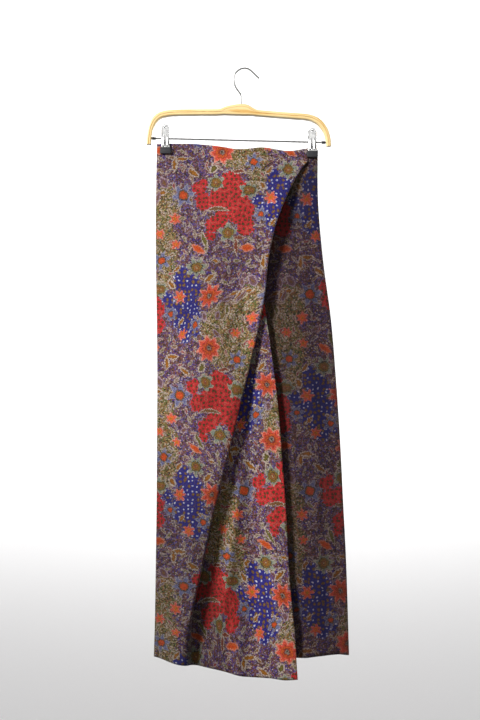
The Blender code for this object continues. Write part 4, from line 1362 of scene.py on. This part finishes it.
def batik_cotton(name="Batik dyed plain weave cotton", dye=WRAP_DYE, paint_low_shade=True):
    """Batik on plain weave cotton: wax-resist patches and flowers with undyed outlines on a
    speckled ground. The dye sinks in, so the cloth stays matt, with a faint sheen along folds."""
    made, tree, shader = new_material(
        name, Roughness=0.82, IOR=1.46, Sheen_Weight=0.12,
        Sheen_Roughness=0.45, Specular_IOR_Level=0.30)
    uv = put(tree, "UVMap", uv_map="Print")[0]
    chart, swayed, drawn, cell = chart_places(tree, uv)
    colour = paint_ground(tree, chart, drawn, cell)
    colour = paint_patches(tree, swayed, cell, colour)
    colour = paint_crescents(tree, cell, colour)
    for kind, rings in LEAF_RINGS.items():
        colour = paint_motifs(tree, cell, colour, LEAVES, chart_leaf, kind, rings)
    for kind, rings in FLOWER_RINGS.items():
        colour = paint_motifs(tree, cell, colour, FLOWERS, chart_flower, kind, rings)
        colour = paint_motifs(tree, cell, colour, FLOWERS, chart_eye, kind, EYE_RINGS[kind])

    levels = []
    for row in DYE_LEVELS:
        noise = put(tree, "TexNoise", noise_dimensions="2D", named={
            "Vector": chart, "Scale": row["waves"], "Detail": row["detail"]})[0]
        levels.append(put(tree, "MapRange", noise, *NOISE_RANGE, row["low"], row["high"])[0])
    level = put(tree, "Math MULTIPLY", *levels)[0]
    colour = put(tree, "VectorMath MULTIPLY", colour, level)[0]
    # On the legs this brightness also holds painted shade.
    colour = put(tree, "VectorMath MULTIPLY", colour, dye)[0]
    if paint_low_shade:
        # Painted shade and light: low down, the wrap is made darker towards the side seam and paler
        # towards its free edge.
        place = put(tree, "SeparateXYZ", uv)
        low = put(tree, "MapRange", place[1], *PAINTED_LOW_SHADE_DOWN, 0.0, 1.0,
                  interpolation_type="SMOOTHSTEP")[0]
        side = put(tree, "MapRange", place[0], *PAINTED_LOW_SHADE_ACROSS, *PAINTED_LOW_SHADE,
                   interpolation_type="SMOOTHSTEP")[0]
        change = put(tree, "Math MULTIPLY_ADD", low, side, 1.0)[0]
        colour = put(tree, "VectorMath MULTIPLY", colour, change)[0]
    tree.links.new(colour, shader.inputs["Base Color"])

    threads = put(tree, "VectorMath MULTIPLY", uv, (math.tau / WEAVE_PITCH,) * 3)[0]
    crossing = put(tree, "SeparateXYZ", threads)
    warp, weft = (put(tree, "Math SINE", crossing[way])[0] for way in (0, 1))
    weave = put(tree, "Math MULTIPLY", warp, weft)[0]
    crumple = put(tree, "TexNoise", noise_dimensions="2D", named={
        "Vector": uv, "Scale": CRUMPLES, "Detail": 3.0})[0]
    fine = put(tree, "Bump", named={"Strength": 0.30, "Distance": 0.0002, "Height": weave})[0]
    soft = put(tree, "Bump", named={"Strength": 0.35, "Distance": 0.004, "Height": crumple,
                                    "Normal": fine})[0]
    tree.links.new(soft, shader.inputs["Normal"])
    return made


def leg_front_shaded_batik():
    """The same batik cotton on the legs' fronts, darker than the wrap by painted shade, matt as
    before.
    """
    return batik_cotton("Batik dyed cotton of the legs", LEG_DYE_AND_SHADE, paint_low_shade=False)


def leg_back_shaded_batik():
    """The same batik cotton on the legs' backs, darker than the wrap by less painted shade, between
    the two in depth; matt as before.
    """
    return batik_cotton("Batik dyed cotton of the backs", BACK_DYE_AND_SHADE, paint_low_shade=False)


def bent_wood():
    """Steam-bent ash under clear satin varnish: long pale grain, brushed highlights."""
    made, tree, shader = new_material("Steam-bent ash with satin varnish", Roughness=0.38,
                                      IOR=1.50, Coat_Weight=0.25, Coat_Roughness=0.25)
    uv = put(tree, "UVMap", uv_map="Print")[0]
    # Grain lines lie 0.6 to 2 mm apart and run 60 mm and more along the strip.
    stretched = put(tree, "VectorMath MULTIPLY", uv, WOOD_GRAIN)[0]
    grain = put(tree, "TexNoise", noise_dimensions="2D", named={
        "Vector": stretched, "Scale": 1.0, "Detail": 5.0, "Distortion": 0.4})[0]
    tone = put(tree, "ValToRGB", grain, mode="LINEAR", stops=(
        (0.32, "wood_grain"), (0.48, "wood"), (0.62, "#F6DA9A"), (0.72, "wood")))[0]
    tree.links.new(tone, shader.inputs["Base Color"])
    rough = put(tree, "MapRange", grain, *NOISE_RANGE, 0.45, 0.32)[0]
    tree.links.new(rough, shader.inputs["Roughness"])
    pores = put(tree, "Bump", named={"Strength": 0.2, "Distance": 0.0003, "Height": grain})[0]
    tree.links.new(pores, shader.inputs["Normal"])
    return made


def speckled(name, per_metre, detail, tones, rough=None, bump=None, **shader_values):
    """A finish whose colour follows a fine grain, and its gloss and height too where given.
    per_metre: how many of its specks lie in a metre; tones: colour where it is low and high."""
    made, tree, shader = new_material(name, **shader_values)
    place = put(tree, "TexCoord")[3]
    grain = put(tree, "TexNoise", named={"Vector": place, "Scale": per_metre,
                                         "Detail": detail})[0]
    tone = put(tree, "ValToRGB", grain, mode="LINEAR", stops=tones)[0]
    tree.links.new(tone, shader.inputs["Base Color"])
    if rough:
        gloss = put(tree, "MapRange", grain, *NOISE_RANGE, *rough)[0]
        tree.links.new(gloss, shader.inputs["Roughness"])
    if bump:
        pits = put(tree, "Bump", named={"Strength": bump[0], "Distance": bump[1],
                                        "Height": grain})[0]
        tree.links.new(pits, shader.inputs["Normal"])
    return made


def toned(colour, share, more=0.0):
    """A colour made lighter or darker, never past white."""
    return tuple(min(c * share + more, 1.0) for c in shade(colour))


def sewing_thread():
    """Spun cotton sewing thread: matt, with the twist of its plies, one every 0.6 mm."""
    return speckled("Spun cotton sewing thread", 1800.0, 1.0,
                    ((0.3, "thread"), (0.7, toned("thread", 1.6))),
                    Roughness=0.75, IOR=1.46, Sheen_Weight=0.15)


def glue_line():
    """Line of old wood glue between two laminations: darker and duller than the varnish, with
    clouds 11 mm long."""
    return speckled("Aged glue line", 90.0, 2.0, ((0.35, "#D0A05A"), (0.65, "#E4BE7C")),
                    Roughness=0.6, IOR=1.50)


def plated_steel():
    """Stamped steel with bright nickel plating: clear reflections, wear marks 5 mm apart."""
    return speckled("Bright nickel plated steel", 220.0, 4.0,
                    ((0.30, toned("steel", 0.72)), (0.52, "steel")),
                    rough=(0.34, 0.17), Metallic=1.0, Roughness=0.22)


def drawn_wire():
    """Drawn steel wire with thin zinc plating: greyer than the clips, with soft reflections and
    dull patches 6 mm apart."""
    return speckled("Zinc plated drawn steel wire", 160.0, 3.0,
                    ((0.32, toned("wire", 0.6)), (0.60, "wire")), Metallic=1.0, Roughness=0.38)


def moulded_rubber():
    """Moulded black rubber: nearly matt, with the 1 mm grain of its mould and a little dust."""
    return speckled("Moulded rubber", 900.0, 2.0,
                    ((0.40, "rubber"), (0.75, toned("rubber", 2.2, 0.01))),
                    bump=(0.3, 0.0001), Roughness=0.62, IOR=1.52)


def backdrop_paper():
    """Seamless background paper, pressed from pulp: matt, even and nearly white, with its pulp in
    clouds 4 mm across."""
    return speckled("Seamless background paper", 240.0, 3.0,
                    ((0.35, toned("paper", 0.985)), (0.65, "paper")), Roughness=0.85, IOR=1.5)


FINISHES = {
    "batik": batik_cotton,
    # The two leg finishes below darken the same cloth with painted shade.
    "deep batik": leg_front_shaded_batik,
    "back shaded batik": leg_back_shaded_batik,
    "thread": sewing_thread,
    "wood": bent_wood,
    "glue": glue_line,
    "steel": plated_steel,
    "wire": drawn_wire,
    "rubber": moulded_rubber,
    "paper": backdrop_paper,
}
ready = {}


def finish_of(name):
    """A finish, made the first time that it is asked for."""
    if name not in ready:
        ready[name] = FINISHES[name]()
    return ready[name]


def add_stitches(name, lines):
    """Stitches along some lines on the cloth, as one piece. A line is its points and the way out
    of the cloth at each."""
    sizes = bpy.context.scene.wrap_pants_sizes
    points, faces = [], []
    for places, outward in lines:
        steps = np.linalg.norm(np.diff(places, axis=0), axis=1)
        along = np.concatenate([[0.0], np.cumsum(steps)])
        middles = np.arange(sizes.stitch_pitch / 2, along[-1], sizes.stitch_pitch)

        def at(values, where):
            return np.stack([np.interp(where, along, values[:, i]) for i in range(3)], -1)

        start = at(places, middles - sizes.stitch / 2)
        end = at(places, middles + sizes.stitch / 2)
        out = at(outward, middles)
        out /= np.linalg.norm(out, axis=1, keepdims=True)
        tangent = end - start
        tangent /= np.linalg.norm(tangent, axis=1, keepdims=True)
        side = np.cross(tangent, out)
        lift = out * (sizes.cloth / 2)
        middle = (start + end) / 2 + lift
        corners = [start + lift]
        for sign_side, sign_out in STITCH_CORNERS:
            corners.append(middle + sizes.thread * (side * sign_side + out * sign_out))
        corners.append(end + lift)
        sides = len(STITCH_CORNERS)
        for i in range(len(middles)):
            first = len(points)
            last = first + sides + 1
            points += [place[i] for place in corners]
            for k in range(sides):
                one, two = first + 1 + k, first + 1 + (k + 1) % sides
                faces += [(first, one, two), (last, two, one)]
    made = make_piece(name, points, faces, [finish_of("thread")], closed=True)
    hang(made, "batik_cotton")
    return made


def with_way_out(middle, one, two):
    """A line on a cloth's middle surface, given by two measures, with the way out at each point."""
    first = middle(one + NEARBY, two) - middle(one - NEARBY, two)
    second = middle(one, two + NEARBY) - middle(one, two - NEARBY)
    return middle(one, two), np.cross(first, second)


class WRAP_PANTS_OT_legs(bpy.types.Operator):
    """Add the front and back panels of both legs, with their stitched hems"""

    bl_idname = "wrap_pants.add_legs"
    bl_label = "Add Legs"

    def execute(self, context):
        sizes = context.scene.wrap_pants_sizes
        for cut in LEG_PRINT:
            name = cut["name"]
            side = name.split("_")[0]
            rows, columns = scaled(LEG_CLOTH_ROWS), scaled(LEG_CLOTH_COLUMNS)
            j, across = np.meshgrid(np.arange(rows + 1), np.linspace(0, 1, columns + 1),
                                    indexing="ij")
            x = np.zeros_like(across)
            for _ in range(SETTLING):
                z = row_heights(j, rows, x, read(LEG_HEM, "x", "z", x))
                x = leg_x(across, z, side)
            points = leg_middle(x, z, name)
            prints = np.stack([x + cut["across"], -z + cut["down"]], -1)
            inward = name.endswith("back")
            # The legs' fronts and backs take batik darkened with painted shade, the fronts more.
            finish = finish_of("back shaded batik" if inward else "deep batik")
            cloth = make_cloth(name + "_cloth", points, prints, finish, inward)
            hang(cloth, "batik_cotton", name)
            inner = leg_x(np.array(LEG_HEM_SHARE), np.full(2, LEG_HEM_LEVEL), side)
            line_x = np.linspace(inner[0], inner[1], LEG_HEM_STEPS)
            hem = read(LEG_HEM, "x", "z", line_x) + sizes.hem - STITCH_INSET
            line, out = with_way_out(lambda x, z: leg_middle(x, z, name), line_x, hem)
            stitches = add_stitches(name + "_stitches", [(line, -out if inward else out)])
        return {"FINISHED"}


class WRAP_PANTS_OT_wrap(bpy.types.Operator):
    """Add the front wrap with its drape fold, stitched hem and stitched free edge"""

    bl_idname = "wrap_pants.add_wrap"
    bl_label = "Add Wrap"

    def execute(self, context):
        sizes = context.scene.wrap_pants_sizes
        rows = scaled(CLOTH_ROWS)
        segments, shares = [0], [0.0]
        for number, count in enumerate(FOLD_COLUMNS):
            count = scaled(count)
            segments += [number] * count
            shares += [(i + 1) / count for i in range(count)]
        j, segment = np.meshgrid(np.arange(rows + 1), np.array(segments), indexing="ij")
        share = np.broadcast_to(np.array(shares), j.shape)
        z = row_heights(j, rows, np.zeros(j.shape), WRAP_HEM[0]["z"])
        for _ in range(SETTLING):
            along = wrap_columns(z, segment, share)
            hem = read(WRAP_HEM, "along", "z", along)
            z = row_heights(j, rows, wrap_middle(along, z)[..., 0], hem)
        along = wrap_columns(z, segment, share)
        points = wrap_middle(along, z)
        prints = wrap_print(along, points[..., 0], z)
        cloth = make_cloth("wrap_cloth", points, prints, finish_of("batik"))
        hang(cloth, "batik_cotton", "wrap_panel")
        hem_along = np.linspace(*WRAP_HEM_ALONG, WRAP_HEM_STEPS)
        hem_z = read(WRAP_HEM, "along", "z", hem_along) + sizes.hem - STITCH_INSET
        edge_z = np.linspace(*WRAP_EDGE_DOWN, WRAP_EDGE_STEPS)
        edge_along = read(FOLD, "z", "width", edge_z) - sizes.edge_hem + EDGE_STITCH_INSET
        stitches = add_stitches("wrap_stitches", [
            with_way_out(wrap_middle, hem_along, hem_z),
            with_way_out(wrap_middle, edge_along, edge_z)])
        return {"FINISHED"}


class WRAP_PANTS_OT_arm(bpy.types.Operator):
    """Add the bent and laminated wooden arm"""

    bl_idname = "wrap_pants.add_arm"
    bl_label = "Add Arm"

    def execute(self, context):
        half_depth = ARM_DEPTH / 2
        path = smooth_path(ARM_CENTRE, ARM_STEPS)
        rings = []
        for i, point in enumerate(path):
            before, after = path[max(i - 1, 0)], path[min(i + 1, len(path) - 1)]
            way = Vector((after["x"] - before["x"], 0.0, after["z"] - before["z"])).normalized()
            across = Vector((-way.z, 0.0, way.x))
            centre = Vector((point["x"], 0.0, point["z"]))
            line = max(point["height"] / 2 - ARM_PLY, GROOVE_CLEAR)
            profile, dark = [], set()
            for quarter in range(4):
                profile += corner(quarter, half_depth, point["height"] / 2, ARM_ROUNDING)
                side = quarter - 2
                for place in (-side * line, side * line) if quarter % 2 else ():
                    dark |= {len(profile), len(profile) + 1}
                    profile += [(side * half_depth, place - side * GROOVE_HALF),
                                (side * (half_depth - GROOVE_DEPTH), place),
                                (side * half_depth, place + side * GROOVE_HALF)]
            rings.append([centre + across * n + Vector((0.0, y, 0.0)) for y, n in profile])
        arm = loft("arm_wood", rings, [finish_of("wood"), finish_of("glue")], dark)
        hang(arm, "bent_wood", "hanger_arm")
        return {"FINISHED"}


class WRAP_PANTS_OT_hook(bpy.types.Operator):
    """Add the wire hook with the bead at its tip"""

    bl_idname = "wrap_pants.add_hook"
    bl_label = "Add Hook"

    def execute(self, context):
        path = smooth_path(HOOK_CENTRE, HOOK_STEPS)
        tip = Vector((path[0]["x"], 0.0, path[0]["z"]))
        inward = (Vector((path[1]["x"], 0.0, path[1]["z"])) - tip).normalized()
        points = [tip + inward * bead["along"] for bead in HOOK_BEAD]
        radii = [bead["size"] * HOOK_TIP for bead in HOOK_BEAD]
        points += [Vector((point["x"], 0.0, point["z"])) for point in path[HOOK_PLAIN:]]
        radii += [WIRE] * (len(points) - len(radii))
        hook = loft("hook_wire", wire_rings(points, radii, HOOK_SIDES), [finish_of("wire")])
        hang(hook, "plated_steel", "hanger_hook")
        return {"FINISHED"}


def add_leaf(clip, face, sign, jaw, rod_z):
    """One stamped leaf: turned-in long edges, two ribs, an eye near the top and two slots."""
    rows = smooth_path(LEAF_SHAPE, LEAF_STEPS)
    grid = []
    for row in rows:
        from_foot, from_top = row["z"] - RIB_ENDS[0], RIB_ENDS[1] - row["z"]
        ribbed = float(smooth(from_foot / RIB_RUN) * smooth(from_top / RIB_RUN))
        above = float(smooth(from_foot / FLANGE_RUN))
        for column in range(LEAF_COLUMNS + 1):
            across = 2 * column / LEAF_COLUMNS - 1
            stand = LEAF_AT_ROD + (jaw - LEAF_AT_ROD) * row["jaw"] + row["flare"]
            off = (abs(across) - RIB_AT) / RIB_HALF
            stand += RIB_HEIGHT * ribbed * math.exp(-off * off * RIB_STEEPNESS)
            past = float(smooth((abs(across) - FLANGE_AT) / (1 - FLANGE_AT)))
            stand -= FLANGE * above * past**FLANGE_CURL
            grid.append((clip["x"] + row["half"] * across, sign * stand, rod_z + row["z"]))
    faces = sheet_faces(len(rows), LEAF_COLUMNS + 1, inward=sign > 0)
    steel = [finish_of("steel")]
    leaf = make_piece(f"{clip['side']}_{face}_leaf", grid, faces, steel)
    wall = leaf.modifiers.new("Sheet", "SOLIDIFY")
    wall.thickness = LEAF
    wall.offset = 0.0
    out = Vector((0.0, float(sign), 0.0))
    eye = Vector((clip["x"], 0.0, rod_z + LEAF_EYE_HEIGHT))
    cutters = [loft("eye", wire_rings([eye + out * reach for reach in CUTTER], [LEAF_EYE] * 2,
                                      EYE_SIDES), steel)]
    for way in (-1, 1):
        middle = Vector((clip["x"] + way * RIB_AT * SLOT_LEAF, 0.0, rod_z + SLOT_LEVEL))
        ring = [middle + Vector((SLOT_HALF[0] * math.cos(angle), 0.0,
                                 SLOT_HALF[1] * math.sin(angle))) for angle in circle(SLOT_SIDES)]
        slot = [[point + out * reach for point in ring] for reach in CUTTER]
        cutters.append(loft("slot", slot, steel))
    cut_out(leaf, cutters)
    hang(leaf, "plated_steel", f"clip_{clip['side']}_{face}_leaf")
    stand = LEAF_AT_ROD + EYE_STAND + LEAF / 2
    rings = []
    for angle in circle(EYE_RIM_POINTS):
        place = Vector((math.cos(angle), 0.0, math.sin(angle))) * (LEAF_EYE + EYE_RIM_OUT)
        leaning = place + out * (EYE_STAND / EYE_LEVEL * place.z)
        outward = leaning.normalized()
        rings.append([eye + leaning + out * stand + EYE_RIM * (
            outward * math.cos(turn) + Vector((0.0, math.sin(turn), 0.0)))
            for turn in circle(EYE_RIM_SIDES)])
    rim = loft(f"{clip['side']}_{face}_eye_rim", rings, steel, closed=True)
    hang(rim, "plated_steel")


def add_boot(clip, face, sign, cloth, rod_z):
    """One rubber boot, moulded with rounded corners and three grip grooves on its outside."""
    levels = list(BOOT_EDGE_LEVELS)
    for groove in BOOT_GROOVES:
        levels += [groove + step for step in BOOT_GROOVE_LEVELS]
    rings = []
    for level in sorted(levels):
        from_edge = min(level, BOOT_HEIGHT - level)
        tuck = BOOT_TUCK * (1 - float(smooth(from_edge / (2 * BOOT_TUCK))))
        groove = max(BOOT_GROOVE_DEPTH * float(1 - smooth(abs(level - g) / BOOT_GROOVE_HALF))
                     for g in BOOT_GROOVES)
        near = cloth + tuck * BOOT_INNER_TUCK
        far = cloth + BOOT_DEPTH - tuck - groove
        ring = []
        for quarter in range(4):
            for x, y in corner(quarter, BOOT_WIDTH / 2 - tuck, (far - near) / 2, BOOT_ROUNDING):
                ring.append(Vector((clip["x"] + x, sign * ((near + far) / 2 + y),
                                    rod_z + BOOT_TOP - level)))
        rings.append(ring)
    boot = loft(f"{clip['side']}_{face}_boot", rings, [finish_of("rubber")])
    hang(boot, "black_rubber", f"clip_{clip['side']}_{face}_boot")


class WRAP_PANTS_OT_clips(bpy.types.Operator):
    """Add both clips: stamped leaves, rubber boots and coil springs"""

    bl_idname = "wrap_pants.add_clips"
    bl_label = "Add Clips"

    def execute(self, context):
        slope = (ROD_RIGHT.z - ROD_LEFT.z) / (ROD_RIGHT.x - ROD_LEFT.x)
        faces = {"front": WRAP_MIDDLE + WALL / 2, "back": SEAM / 2 + WALL}
        for clip in CLIPS:
            rod_z = ROD_LEFT.z + slope * (clip["x"] - ROD_LEFT.x)
            for face, sign in (("front", -1), ("back", 1)):
                cloth = faces[face] + SEAM
                add_leaf(clip, face, sign, cloth + BOOT_INNER + LEAF_MIDDLE, rod_z)
                add_boot(clip, face, sign, cloth, rod_z)
            path = []
            count = SPRING_TURNS * SPRING_STEPS
            for k in range(count + 1):
                angle = math.tau * SPRING_TURNS * k / count
                x = SPRING_LENGTH * (k / count - 0.5)
                path.append(Vector((clip["x"] + x, SPRING_COIL * math.cos(angle),
                                    rod_z + slope * x + SPRING_COIL * math.sin(angle))))
            rings = wire_rings(path, [SPRING_WIRE] * len(path), SPRING_SIDES)
            spring = loft(f"{clip['side']}_coil_spring", rings, [finish_of("steel")])
            hang(spring, "plated_steel", f"clip_{clip['side']}_spring")
        return {"FINISHED"}


class WRAP_PANTS_OT_rod(bpy.types.Operator):
    """Give the rod and its caps their finishes"""

    bl_idname = "wrap_pants.finish_rod"
    bl_label = "Finish Rod"

    def execute(self, context):
        for node, finish in (("hanger_rod", "wire"), ("rod_cap_left", "rubber"),
                             ("rod_cap_right", "rubber")):
            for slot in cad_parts[node].material_slots:
                slot.material = finish_of(finish)
        return {"FINISHED"}


def add_sweep():
    """The floor, which rises in one bend to a backdrop far behind the trousers."""
    turns = np.linspace(0.0, math.pi / 2, SWEEP_STEPS)
    profile = [(FLOOR_FRONT, FLOOR_AT)]
    for turn in turns:
        profile.append((SWEEP_FROM + SWEEP_BEND * math.sin(turn),
                        FLOOR_AT + SWEEP_BEND * (1 - math.cos(turn))))
    profile.append((SWEEP_FROM + SWEEP_BEND, SWEEP_TOP))
    half = STAGE_SIZE / 2
    points = [(side * half, y, z) for y, z in profile for side in (-1, 1)]
    faces = [(2 * i, 2 * i + 1, 2 * i + 3, 2 * i + 2) for i in range(len(profile) - 1)]
    made = make_piece("backdrop", points, faces, [finish_of("paper")])
    made.visible_diffuse = False
    return made


def keep_light_to(light, stage, state):
    """Let a light fall on the stage alone, or on all but the stage, as flags do in a studio."""
    group = bpy.data.collections.new(light.name + "_receivers")
    group.objects.link(stage)
    light.light_linking.receiver_collection = group
    if state == "INCLUDE":
        light.light_linking.blocker_collection = group
    for member in group.collection_objects:
        member.light_linking.link_state = state


class WRAP_PANTS_OT_stage(bpy.types.Operator):
    """Add the floor with its backdrop, the lights and the camera"""

    bl_idname = "wrap_pants.add_stage"
    bl_label = "Add Stage"

    def execute(self, context):
        stage = add_sweep()
        scene = context.scene
        scene.view_settings.view_transform = "Standard"
        world = bpy.data.worlds.new("Studio air")
        world.use_nodes = True
        air = world.node_tree.nodes["Background"]
        air.inputs["Color"].default_value = AIR_TINT
        seen = put(world.node_tree, "LightPath")[0]
        glow = put(world.node_tree, "MapRange", seen, 0.0, 1.0, AIR, GLOW)[0]
        world.node_tree.links.new(glow, air.inputs["Strength"])
        scene.world = world
        for row in LIGHTS:
            lamp = bpy.data.lights.new(row["name"], "AREA")
            lamp.shape = "DISK"
            lamp.size = row["size"]
            lamp.energy = row["power"]
            light = bpy.data.objects.new(row["name"], lamp)
            light.location = (row["x"], row["y"], row["z"])
            light.visible_camera = False
            way = Vector((0.0, row["aim_y"], row["aim"])) - light.location
            light.rotation_euler = way.to_track_quat("-Z", "Y").to_euler()
            context.collection.objects.link(light)
            keep_light_to(light, stage, "INCLUDE" if row["lights"] == "stage" else "EXCLUDE")
        view = bpy.data.cameras.new("photo_view")
        view.lens = LENS
        view.sensor_width = SENSOR
        camera = bpy.data.objects.new("photo_view", view)
        camera.location = CAMERA_AT
        camera.rotation_euler = (math.pi / 2, 0.0, 0.0)
        context.collection.objects.link(camera)
        scene.camera = camera
        return {"FINISHED"}


class WRAP_PANTS_PT_panel(bpy.types.Panel):
    """Sidebar panel that lists the pieces"""

    bl_label = "Wrap Pants"
    bl_idname = "WRAP_PANTS_PT_panel"
    bl_space_type = "VIEW_3D"
    bl_region_type = "UI"
    bl_category = "Wrap Pants"

    def draw(self, context):
        for operator in OPERATORS:
            self.layout.operator(operator.bl_idname)
        for group in (context.scene.wrap_pants_sizes, context.scene.wrap_pants_colours):
            box = self.layout.box()
            for name in group.__annotations__:
                box.prop(group, name)


OPERATORS = (
    WRAP_PANTS_OT_stage,
    WRAP_PANTS_OT_legs,
    WRAP_PANTS_OT_wrap,
    WRAP_PANTS_OT_arm,
    WRAP_PANTS_OT_hook,
    WRAP_PANTS_OT_rod,
    WRAP_PANTS_OT_clips,
)
CLASSES = (WrapPantsSizes, WrapPantsColours, *OPERATORS, WRAP_PANTS_PT_panel)


def register():
    """Register the classes and give the scene its sizes and colours."""
    for each in CLASSES:
        bpy.utils.register_class(each)
    bpy.types.Scene.wrap_pants_sizes = PointerProperty(type=WrapPantsSizes)
    bpy.types.Scene.wrap_pants_colours = PointerProperty(type=WrapPantsColours)


def unregister():
    """Take the classes, sizes and colours away again."""
    del bpy.types.Scene.wrap_pants_colours
    del bpy.types.Scene.wrap_pants_sizes
    for each in reversed(CLASSES):
        bpy.utils.unregister_class(each)


def main():
    register()
    bpy.ops.wrap_pants.add_stage()
    bpy.ops.wrap_pants.add_legs()
    bpy.ops.wrap_pants.add_wrap()
    bpy.ops.wrap_pants.add_arm()
    bpy.ops.wrap_pants.add_hook()
    bpy.ops.wrap_pants.finish_rod()
    bpy.ops.wrap_pants.add_clips()


if __name__ == "__main__":
    main()
